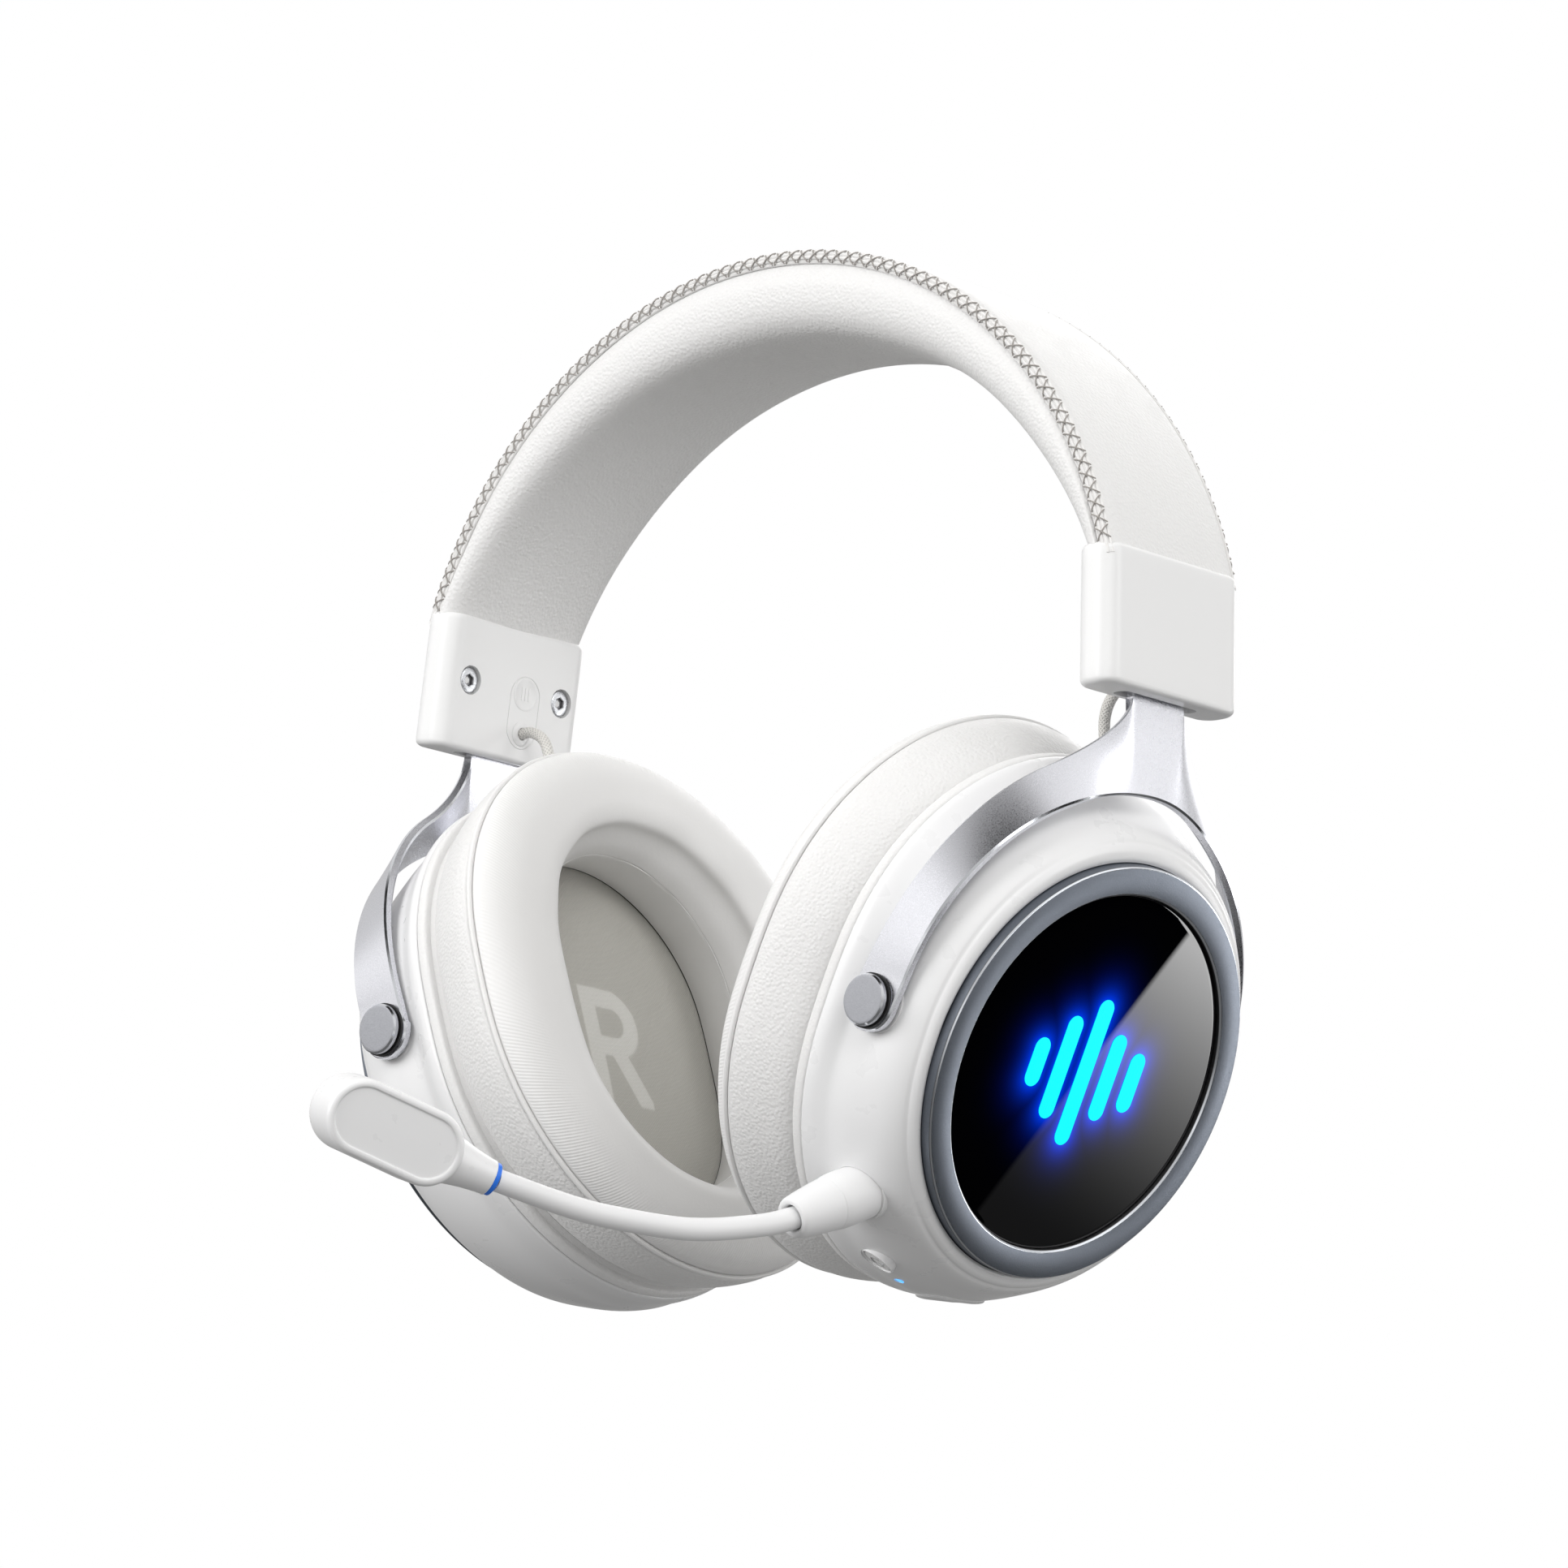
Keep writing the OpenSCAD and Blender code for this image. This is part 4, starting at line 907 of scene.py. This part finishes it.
def cut_controls(cut):
    peg(cut, MIC_BASE, MIC_AXIS, 5.07, -9, 9, 96)
    peg(cut, wall(BUTTON_TURN, 0), wall_axis(BUTTON_TURN), 3.32, 36, 50, 72)
    peg(cut, wall(LED_TURN, 0), wall_axis(LED_TURN), 0.92, 36, 50, 32)
    stadium_peg(cut, PORT_TURN, 9.3, 3.4, 36, 44.5)
    stadium_peg(cut, WHEEL_TURN, 14.2, 4.2, 36, 50)


def make_bezel(side_name):
    i, o, top, floor, foot = GLASS_R + 0.15, BEZEL_R, BEZEL_OUT, GLASS_OUT - 2, 15.5
    profile = [(i, floor), (i, top - 0.38), (i + 0.06, top - 0.3), (i + 0.32, top - 0.03),
               (i + 0.4, top), (o - 0.34, top), (o - 0.26, top - 0.03), (o - 0.05, top - 0.25),
               (o, top - 0.34), (o, foot), (i + 2, foot), (i + 2, floor - 1), (i - 1.7, floor - 1),
               (i - 1.7, floor), (i, floor)]
    s = lathe(Shape(), cup(0, 0, FACE_W), CUP_U, profile, 240,
              [2, 2, 1, 1, 0, 1, 1, 2, 0, 2, 2, 2, 2, 2])
    add(s, "bezel_{}", "cup_{}", [SLATE, SLATE_EDGE, SLATE_SIDE_AND_SOCKET_SHADE], side_name,
        ("bezel_ring_{}",), sharp=24)
    # dark ring at the bottom of the gap between the bezel and the shell's lip: painted shade in the gap
    gap = [(o - 0.5, 17.4), (38.02, 17.4), (38.02, 15.6), (o - 0.5, 15.6), (o - 0.5, 17.4)]
    s = lathe(Shape(), cup(0, 0, FACE_W), CUP_U, gap, 160)
    add(s, "bezel_gasket_{}", "cup_{}", [DARK_RUBBER_AND_CRACK_SHADE], side_name)


MARK_HEIGHTS, MARK_BAR, MARK_PITCH = (9, 19, 27, 16, 11), 3.8, 6.4


def mark_distance(v, w):
    """Distance from the nearest lit bar."""
    best = np.full(np.shape(v), 1e3)
    for i, h in enumerate(MARK_HEIGHTS):
        half = (h - MARK_BAR) / 2
        dv, dw = v - (i - 2) * MARK_PITCH, np.maximum(np.abs(w) - half, 0)
        best = np.minimum(best, np.hypot(dv, dw) - MARK_BAR / 2)
    return np.maximum(best, 0)


def make_glass(side_name):
    radii = np.append(np.linspace(0.05, GLASS_R - 0.5, 70), GLASS_R - vec((0.2, 0.05, 0, 0)))[:, None]
    drop = np.append(np.zeros(70), (0.03, 0.12, 0.3, 2))[:, None]
    v, w = radii * np.sin(TURNS), radii * np.cos(TURNS)
    s = Shape().solid(cup(GLASS_OUT - drop, v, w + FACE_W))
    halo = np.exp(-mark_distance(v, w) / 1.7)
    halo[-1] = 0
    s.values["halo"] = np.concatenate([halo.ravel(), halo[0], halo[-1]])
    add(s, "face_glass_disc_{}", "cup_{}", [GLASS], side_name, ("face_glass_{}",), sharp=40)


# ---------------------------------------------------------------- ear pads

PAD_MID, PAD_DROP = 8.8, 0.8
PAD_BACK, PAD_CROWN, PAD_A, PAD_HOLE = -6.1, -26.1, 47.9, 25.9
# A rim's oval reaches this much further up and down than it is half wide.
RIM_UP, RIM_DOWN = 4.3, 5.6


def pad_oval(radius):
    """The pad's oval at a radius: longer in its opening than round its outside."""
    mid = PAD_MID / 2 + 3.2 * float(smoothstep((38 - radius) / 12))
    return oval(radius, radius + mid - PAD_DROP, radius + mid + PAD_DROP)


def pad_profile():
    """(radius, u) round the pad's section from its outer back edge to its inner back edge."""
    wall_part = [(PAD_A - 5.6, PAD_BACK - 0.05), (PAD_A - 4.2, PAD_BACK - 0.5),
                 (PAD_A - 2.6, PAD_BACK - 2.4), (PAD_A - 1.1, PAD_BACK - 6), (PAD_A - 0.15, -15.5),
                 (PAD_A + 0.1, -17.6), (PAD_A + 0.05, -18.6), (PAD_A - 0.35, -18.95)]
    front = [(PAD_A - 0.45, -20.0), (PAD_A - 0.25, -20.6), (PAD_A - 0.75, -22.1),
             (PAD_A - 2.6, -23.9), (PAD_A - 6.2, -25.5), (PAD_A - 10.6, PAD_CROWN),
             (PAD_A - 14.4, -26.0), (PAD_A - 18, -24.7), (PAD_HOLE + 3.1, -22.4),
             (PAD_HOLE + 1.0, -19.2), (PAD_HOLE + 0.15, -16.6), (PAD_HOLE + 0.25, -16.0),
             (PAD_HOLE + 0.1, -15.4), (PAD_HOLE + 0.5, -12), (PAD_HOLE + 1.4, -8.8),
             (PAD_HOLE + 2.6, PAD_BACK - 0.05)]
    return curve_through(wall_part, 5), curve_through(front, 6)


def make_pad(side_name):
    outer, front = pad_profile()
    rng = np.random.default_rng(11 if side_name == "left" else 12)

    def rows(profile, wobble):
        p = np.array([cup(u, *pad_oval(r)) for r, u in profile])
        reach = run(profile)
        body = np.sin(np.pi * np.clip(reach / reach[-1], 0, 1)) ** 0.7
        n = unit(np.cross(np.gradient(p, axis=0), np.gradient(p, axis=1)))
        total = np.zeros(p.shape[:2])
        for _ in range(9):
            a, b, c = rng.integers(2, 15), rng.uniform(0, 0.25), rng.uniform(0, 6.28)
            total += np.sin(a * TURNS[None, :] + b * reach[:, None] + c) * wobble / 3
        return p + n * (total * body[:, None])[..., None], reach

    s = Shape()
    around = np.append(TURNS, 2 * np.pi) * (PAD_A + PAD_MID / 3)
    p_out, reach_out = rows(outer, 0.08)
    p_front, reach_front = rows(front, 0.1)
    s.grid(p_out, 0, ring=True, uv=np.stack(np.meshgrid(reach_out, around, indexing="ij"), -1))
    s.grid(np.array([p_out[-1], p_front[0]]), 1, ring=True)
    uv = np.stack(np.meshgrid(reach_front, around, indexing="ij"), -1)[..., ::-1]
    s.grid(p_front, 1, ring=True, uv=uv)
    s.grid(np.array([p_front[-1], p_out[0]]), 0, ring=True)
    rib = smoothstep(1 - (reach_front - 1.5) / 11) * smoothstep(reach_front / 1.2)
    s.values["ribs"] = np.concatenate([
        np.zeros(p_out.shape[0] * len(TURNS)), np.zeros(2 * len(TURNS)),
        np.repeat(rib, len(TURNS)), np.zeros(2 * len(TURNS))])
    pad = add(s, "ear_cushion_{}", "cup_{}", [PAD_LEATHER, PAD_FRONT], side_name,
              ("ear_pad_{}",), sharp=60)
    # double piping at the front seam, and the thin seams on the wall and inside the opening
    s = Shape()
    for r, u, thick in ((PAD_A - 0.05, -19.5, 0.5), (PAD_A, -18.35, 0.16), (PAD_HOLE + 0.16, -16, 0.14)):
        tube(s, cup(u, *pad_oval(r)), thick, 10, closed=True)
    add(s, "pad_piping_{}", "cup_{}", [PIPING], side_name)


def rim_ring(*profile):
    """A closed ring of (u, half width) points round the cup's rim."""
    levels = [(u, half, half + RIM_UP, half + RIM_DOWN) for u, half in profile]
    return Shape().grid(oval_rows(levels), ring=True, loop=True)


def make_rim_band(side_name):
    s = rim_ring(*curve_through([(-3.0, 42.0), (-3.0, 44.3), (-3.1, 44.75), (-3.5, 45.0), (-4.3, 45.05),
                                 (-4.9, 44.95), (-5.2, 44.5), (-5.25, 43.6), (-5.25, 42.0)], 4))
    add(s, "rim_leather_band_{}", "cup_{}", [RIM_LEATHER], side_name, ("rim_band_{}",),
        sharp=50)
    # ring that holds the pad, its opening a little wider than the cloth
    hole, outer = pad_oval(PAD_HOLE + 2.9), oval(41.8, 41.8 + RIM_UP, 41.8 + RIM_DOWN)
    rows = [cup(u, *edge) for edge, u in ((outer, -6.04), (outer, -5.3), (hole, -5.3), (hole, -6.04))]
    s = Shape().grid(np.array(rows), ring=True, loop=True)
    add(s, "pad_ring_body_{}", "cup_{}", [BLACK_PLASTIC], side_name, ("pad_ring_{}",))
    # shadowed core behind the pad's edge
    s = rim_ring((-5.2, 43.6), (-6.2, 43.0), (-6.2, 41), (-5.2, 41))
    add(s, "pad_seat_{}", "cup_{}", [RIM_LEATHER], side_name)


def letter_mask(x, y, letter):
    """A plain side letter, x to the reader's right and y up; 1 inside its strokes."""
    half, stroke, left, right = 11.6, 1.95, -7.3, 7.3

    def bar(x0, y0, x1, y1):
        dx, dy = x1 - x0, y1 - y0
        t = np.clip(((x - x0) * dx + (y - y0) * dy) / (dx * dx + dy * dy), 0, 1)
        return np.hypot(x - x0 - t * dx, y - y0 - t * dy)

    marks = [bar(left + stroke, -half - 4, left + stroke, half + 4)]
    if letter == "L":
        marks.append(bar(left + stroke, stroke - half, right + 4, stroke - half))
    else:
        bowl_r = 4.9
        bowl_x, bowl_y = right - stroke - bowl_r, half - stroke - bowl_r
        ring = np.abs(np.hypot(np.maximum(x - bowl_x, 0), y - bowl_y) - bowl_r)
        marks.append(np.where(x > left + stroke, ring, 1e3))
        marks.append(bar(bowl_x - 0.5, bowl_y - bowl_r, right + 1.2, -half - 4))
    inside = stroke - np.minimum.reduce(marks)
    inside = np.minimum(inside, np.minimum(half - np.abs(y), right + 0.4 - x))
    return smoothstep(inside / 0.35 + 0.5)


def make_cloth(side_name):
    side = SIDES[side_name]
    reach = PAD_HOLE + 2.75
    spread = np.concatenate([[0.002], np.linspace(0.02, 1, 90)])[:, None]
    edge_v, edge_w = pad_oval(reach)
    v, w = edge_v * spread, (edge_w + PAD_DROP) * spread - PAD_DROP
    u = PAD_BACK + 0.25 - 1.3 * (1 - spread ** 2) + 0 * v
    s = Shape()
    uv = np.stack([np.concatenate([v, v[:, :1]], 1), np.concatenate([w, w[:, :1]], 1)], -1)
    s.grid(cup(u, v, w), ring=True, uv=uv)
    # the reader looks into the cup, so v runs to the right on the right cup only
    s.values["letter"] = letter_mask((v - 0.75) * -side, w + 2, "L" if side > 0 else "R").ravel()
    obj = add(s, "speaker_weave_{}", "cup_{}", [CLOTH], side_name,
              ("speaker_cloth_{}",), sharp=60)
    size = (np.ptp(edge_v) * MM, np.ptp(edge_w) * MM)
    area = float(np.sum(edge_v * np.roll(edge_w, -1) - edge_w * np.roll(edge_v, -1)) / 2) * MM ** 2


# ---------------------------------------------------------------- cables

CABLE_R = 1.05
UPPER_ROUTE = [(76.6, 2.6, 61.9), (73.5, 2.6, 62), (70.3, 2.4, 60.5), (68.3, 2, 57.8), (67.6, 1.8, 54.8)]
LOWER_ROUTE = [(67.6, 1.8, 54.8), (67.8, 1.8, 51.5), (68.4, 2, 48.5), (69, 2.4, 44.8)]


def make_side_cable(side_name):
    path = curve_through([lift(p) for p in UPPER_ROUTE + LOWER_ROUTE[1:]], 16)
    joint = 16 * (len(UPPER_ROUTE) - 1)
    fork = "fork_" + side_name
    for name, p, a, b in (("upper", path[:joint + 1], "headband", fork),
                          ("lower", path[joint:], fork, "cup_" + side_name)):
        s = tube(Shape(), p, CABLE_R, 20)
        obj = add(s, "braided_cable_" + name + "_{}", None, [BRAID], side_name,
                  ("side_cable_" + name + "_{}",), sharp=60)
        ends = [tuple(q * vec((SIDES[side_name], 1, 1)) * MM) for q in (p[0], p[-1])]
        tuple(ends[0])
        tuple(ends[1])
        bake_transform(obj)
    s = lathe(Shape(), block(-HOUSE_T / 2, CABLE_Y, CABLE_K), -BLOCK_N, curve_through(
        [(1.1, -1.2), (1.15, 0.3), (1.35, 0.42), (1.75, 0.38), (2.25, 0.18), (2.35, 0.02), (2.3, -0.3)],
        4), 48)
    add(s, "cable_gland_{}", "headband", [HOUSING], side_name, ("cable_grommet_{}",))


# ---------------------------------------------------------------- controls and microphone

def make_controls():
    axis = wall_axis(BUTTON_TURN)
    edge = [(2.9, 42.2), (2.9, 43.9), (2.95, 44.3), (3.05, 44.42), (3.2, 44.4), (3.3, 44.2), (3.3, 42.4)]
    s = lathe(Shape(), wall(BUTTON_TURN, 0), axis, curve_through(edge, 4), 72)
    add(s, "button_surround", "cup_left", [SHELL], "left")
    s = lathe(Shape(), wall(BUTTON_TURN, 0), axis,
              [(0, 38), (3.6, 38), (3.6, 39.6), (2.8, 39.6), (2.8, 43.9), (2.74, 44.1), (2.55, 44.25),
               (2.3, 44.28), (0, 44.3)], 64)
    a = np.radians(np.linspace(40, 320, 29))
    arc = [wall(BUTTON_TURN, 44.3, 1.3 * math.sin(t), 1.3 * math.cos(t)) for t in a]
    bar = [wall(BUTTON_TURN, 44.3, 0, r) for r in np.linspace(0.35, 1.75, 6)]
    for line in (arc, bar):
        tube(s, line, 0.16, 8, mat=1)
    # lip round the charging port: height, length and rise of its rings
    port = []
    for height, length, rise in (
            (6.6, 15.0, -1.2), (6.6, 15.0, -0.1), (6.4, 14.8, 0.2), (5.9, 14.3, 0.38),
            (5.0, 12.8, 0.45), (4.0, 10.4, 0.38), (3.5, 9.5, 0.15), (3.4, 9.3, -1.2)):
        o = rounded_outline(height, length, height / 2 - 0.01, 16)
        slope = 44.3 - 0.283 * o[:, 0] - 0.02 * o[:, 0] ** 2 - o[:, 1] ** 2 / 88.6
        port.append(wall(PORT_TURN, slope + rise, o[:, 1], o[:, 0]).ravel())
    lip = Shape().grid(curve_through(port, 3).reshape(-1, 64, 3), ring=True)
    add(lip, "port_surround", "cup_left", [SHELL], "left")
    add(s, "power_key", "power_button", [PART_WHITE, GREY_NYLON], "left",
        ("power_button",))


CAPSULE_L, CAPSULE_W, CAPSULE_T = 25.6, 13.2, 11.9
NECK_L, CAPSULE_OUT = 7.75, 0.75
CAPSULE_AT = (21.8, -124.1, -34.9)
CAPSULE_TURN = (-12.7, -16.8, -112.2)
# The boom's route after its collar.
BOOM_ROUTE = [(43.8, -54.5, -42.6), (40.6, -67.4, -44.8), (36.6, -81.5, -44.7), (33.6, -91, -43.7),
              (29.7, -104.8, -41.1)]
CAPSULE_AXES = [vec(c) for c in Euler(np.radians(CAPSULE_TURN)).to_matrix().col]


def capsule(x, y, z):
    """Capsule frame: x along it away from the neck, y out of its face, z up."""
    return place(lift(CAPSULE_AT), CAPSULE_AXES, x, y, z)


def make_microphone():
    collar = [(0, -2.9), (4.6, -2.9), (4.95, -2.2), (5.0, 0), (5.04, 2.2), (5.0, 4.6), (4.78, 6.1)]
    sleeve = [(4.68, 6.2), (4.76, 6.35), (4.5, 9), (4.2, 11.5), (3.95, 13.2), (3.75, 14.3),
              (3.45, 14.85), (3.0, 15.0), (2.55, 14.9), (2.3, 14.3), (2.25, 13.0)]
    profile = np.concatenate([curve_through(part, 4) for part in (collar, sleeve)])
    s = lathe(Shape(), MIC_BASE, MIC_AXIS, profile, 96)
    route = [MIC_BASE + MIC_AXIS * 10, MIC_BASE + MIC_AXIS * 15.2, *(lift(p) for p in BOOM_ROUTE)]
    tube(s, curve_through(route, 16), 2.0, 24)
    add(s, "boom_arm", "microphone", [BOOM_WHITE], "left", ("mic_boom",), sharp=40)

    # capsule: a stadium body with soft edges and a raised rim round its face panel
    half = CAPSULE_T / 2
    edge = [(6.5, -half), (2.6, -half), (1.5, -half + 0.12), (0.7, -half + 0.6), (0.2, -half + 1.4),
            (0, -half + 2.4), (0, 0), (0, half - 1.3), (0.08, half - 0.7), (0.35, half - 0.22),
            (0.75, half - 0.02), (1.05, half), (1.3, half - 0.08), (1.42, half - 0.3),
            (1.6, half - 0.36), (2.2, half - 0.36), (6.5, half - 0.3)]
    rings = []
    for inset, y in curve_through(edge, 3):
        o = rounded_outline(CAPSULE_L - 2 * inset, CAPSULE_W - 2 * inset, CAPSULE_W / 2 - inset, 26)
        rings.append(capsule(o[:, 0], CAPSULE_OUT + y, o[:, 1]))
    s = Shape().solid(np.array(rings))
    start = -CAPSULE_L / 2 - NECK_L
    lathe(s, capsule(start, 0, 0), CAPSULE_AXES[0], curve_through(
        [(0, 0), (2.9, 0), (3.08, 0.15), (3.25, 1.5), (3.6, 4), (4.1, 6.5), (4.6, 8.6), (4.9, 10.5),
         (4.9, 13)], 5), 72)
    add(s, "mic_head", "microphone", [SHELL], "left", ("mic_capsule",), sharp=40)
    # sound holes on the side towards the mouth
    s = Shape()
    for x in np.linspace(-4.8, 4.8, 5):
        lathe(s, capsule(x, CAPSULE_OUT - half, 0), -CAPSULE_AXES[1],
              [(0, 0.02), (0.6, 0.02), (0.75, 0.05), (0.85, 0.0), (0.9, -0.3)], 24, [1, 1, 0, 0])
    add(s, "mic_sound_holes", "microphone", [GREY_NYLON, DARK_RUBBER_AND_CRACK_SHADE], "left")


# ---------------------------------------------------------------- stage

STAGE_CENTRE = (0, 0, -0.09)
# Patches of the room seen only in reflections: direction, inner and outer angle, gain.
PATCHES = [
    ((0.08, -0.15, 0.985), 18, 30, -0.98),
    ((0.68, 0.2, 0.7), 18, 32, 0.5),
    ((-0.55, -0.72, 0.42), 20, 32, 0.8),
    ((0.74, 0.67, 0.04), 8, 17, 1.9),
    ((0.65, -0.7, -0.3), 8, 22, 2.2),
]


def area_light(name, at, width, height, power, color=(1, 1, 1), mirrored=True):
    """A rectangular light that faces the headset; mirrored says if reflections show it."""
    data = bpy.data.lights.new(name, "AREA")
    data.shape, data.size, data.size_y = "RECTANGLE", width, height
    data.energy, data.color = power, color
    obj = linked(name, data)
    obj.location = at
    obj.rotation_euler = (Vector(STAGE_CENTRE) - Vector(at)).to_track_quat("-Z", "Y").to_euler()
    obj.visible_glossy = mirrored


def sheet(name, x, y, z, look):
    """A flat piece of the stage, from low to high x and y."""
    me = bpy.data.meshes.new(name)
    corners = [(x[0], y[0], z), (x[1], y[0], z), (x[1], y[1], z), (x[0], y[1], z)]
    me.from_pydata(corners, [], [(0, 1, 2, 3)])
    me.materials.append(look)
    return linked(name, me)


def pose(obj, axes, at):
    m = Matrix(axes).transposed().to_4x4()
    m.translation = Vector(at)
    obj.matrix_world = m


def make_floor():
    m = matte("floor_pale", (0.92, 0.92, 0.92), 0.8, 20, 0.05)
    # the floor fades to the white of the room well before its edge
    away = m.put(m.node("VectorMath", operation="LENGTH"), m.where).outputs["Value"]
    m.put(m.b, Emission_Color=(1, 1, 1, 1), Emission_Strength=m.ramp(away, 0.9, 3.0))
    half = 6.0
    floor = sheet("floor", (-half, half), (-half, half), -0.62, m.m)
    floor.visible_diffuse = floor.visible_glossy = False


def make_world():
    """White to the camera; a soft room to everything else, with patches seen in the metal."""
    world = bpy.data.worlds.new("studio")
    bpy.context.scene.world = world
    world.use_nodes = True
    t = Nodes(world.node_tree)
    t.tree.nodes.clear()
    where = t.node("TexCoord").outputs["Generated"]
    height = t.put(t.node("SeparateXYZ"), where).outputs["Z"]
    soft = t.ramp(height, -0.65, 0.65, 0.33, 0.64, "SMOOTHSTEP")
    sharp = t.ramp(height, -0.5, 0.5, 0.14, 0.75, "SMOOTHSTEP")
    for direction, inner, outer, gain in PATCHES:
        facing = t.put(t.node("VectorMath", operation="DOT_PRODUCT"), where, unit(vec(direction)))
        near = t.ramp(facing.outputs["Value"], *np.cos(np.radians((outer, inner))), 0, 1, "SMOOTHSTEP")
        sharp = t.math("MULTIPLY", sharp, t.math("MULTIPLY_ADD", near, gain, 1.0))
    rays = t.node("LightPath").outputs
    level = t.mix(rays["Is Glossy Ray"], soft, sharp, "FLOAT")
    room = t.put(t.node("Background"), (1.0, 0.995, 0.985, 1), level)
    seen = t.put(t.node("Background"), (1, 1, 1, 1))
    mix = t.put(t.node("MixShader"), rays["Is Camera Ray"], room.outputs[0], seen.outputs[0])
    t.put(t.node("OutputWorld"), mix.outputs[0])


def make_reflection_card():
    """A dark card whose lit part ends in a slanting edge, seen in reflections only.

    It stands where the left glass mirrors it for the photograph's camera."""
    eye = vec(bpy.context.scene.camera.matrix_world.translation)

    def bounce(v, w):
        """A point of the glass, and where the view from the camera goes from there."""
        p = cup(GLASS_OUT, v, w + FACE_W) * MM
        d = unit(p - eye)
        return p, d - 2 * (d @ CUP_U) * CUP_U

    centre, facing = bounce(0, 0)
    centre = centre + facing * 0.5
    spots = []
    for v, w in ((-15.4, -28.2), (13.7, 28.6), (21.7, 23.1)):
        p, way = bounce(v, w)
        spots.append(p + way * (((centre - p) @ facing) / (way @ facing)))
    low, high, lit = spots               # both ends of the slanting edge, and the lit side
    x = unit(high - low)
    y = unit(np.cross(facing, x))
    y *= np.sign((lit - high) @ y)

    look = bpy.data.materials.new("reflection_card_light")
    look.use_nodes = True
    t = Nodes(look.node_tree)
    t.tree.nodes.clear()
    spot = t.put(t.node("SeparateXYZ"), t.node("TexCoord").outputs["Object"]).outputs
    half = float(np.linalg.norm(high - low)) / 2 * 0.95
    edge = t.ramp(spot["Y"], 0.0, 0.0012)
    level = t.math("MULTIPLY_ADD", t.math("POWER", t.ramp(spot["X"], -half, half), 2.4), 4.2, 0.07)
    glow = t.put(t.node("Emission"), Strength=t.math("MULTIPLY", edge, level))
    t.put(t.node("OutputMaterial"), glow.outputs[0])
    card = sheet("reflection_card", (-0.3, 0.3), (-0.3, 0.16), 0, look)
    pose(card, (x, y, np.cross(x, y)), (low + high) / 2)
    card.visible_camera = card.visible_diffuse = card.visible_shadow = False
    card.visible_transmission = card.visible_volume_scatter = False


def make_camera():
    """The photograph's view: below the band's level, front left of the wearer."""
    distance, lens_px, width_px = 1500.34, 10214.13, 1932
    back = unit(vec((0.6629, -0.7291, -0.1704)))
    right = unit(vec((0.7461, 0.6623, 0.0686)))
    up = np.cross(back, right)
    aim = right * -1.37 + up * 46.23 + vec((0, 0, PIVOT_Z))
    data = bpy.data.cameras.new("camera")
    data.sensor_width = 36
    data.lens = lens_px / width_px * data.sensor_width
    data.clip_start, data.clip_end = 0.05, 20
    camera = linked("camera", data)
    pose(camera, (right, up, back), (aim + back * distance) * MM)
    bpy.context.scene.camera = camera


def make_lights():
    area_light("key", (1.15, -0.75, 0.75), 1.0, 0.8, 9.2, (1, 0.995, 0.985), mirrored=False)
    area_light("front", (-0.5, -1.4, 0.3), 0.9, 0.7, 15.5, mirrored=False)
    area_light("top", (0.1, 0.1, 1.3), 1.0, 1.0, 2.0, mirrored=False)
    area_light("right", (1.35, 0.5, 0.1), 0.6, 1.1, 4.5)
    area_light("back", (-0.5, 1.2, 0.6), 0.9, 0.9, 4.0)


make_camera()
make_world()
make_floor()
make_lights()
make_reflection_card()
dress_cad_nodes()
make_headband()
for name in SIDES:
    for make in (make_housing, make_fork, make_pivot_caps, make_cup_shell, make_bezel, make_glass,
                 make_pad, make_rim_band, make_cloth, make_side_cable):
        make(name)
make_controls()
make_microphone()
bpy.context.scene.view_settings.view_transform = "Standard"
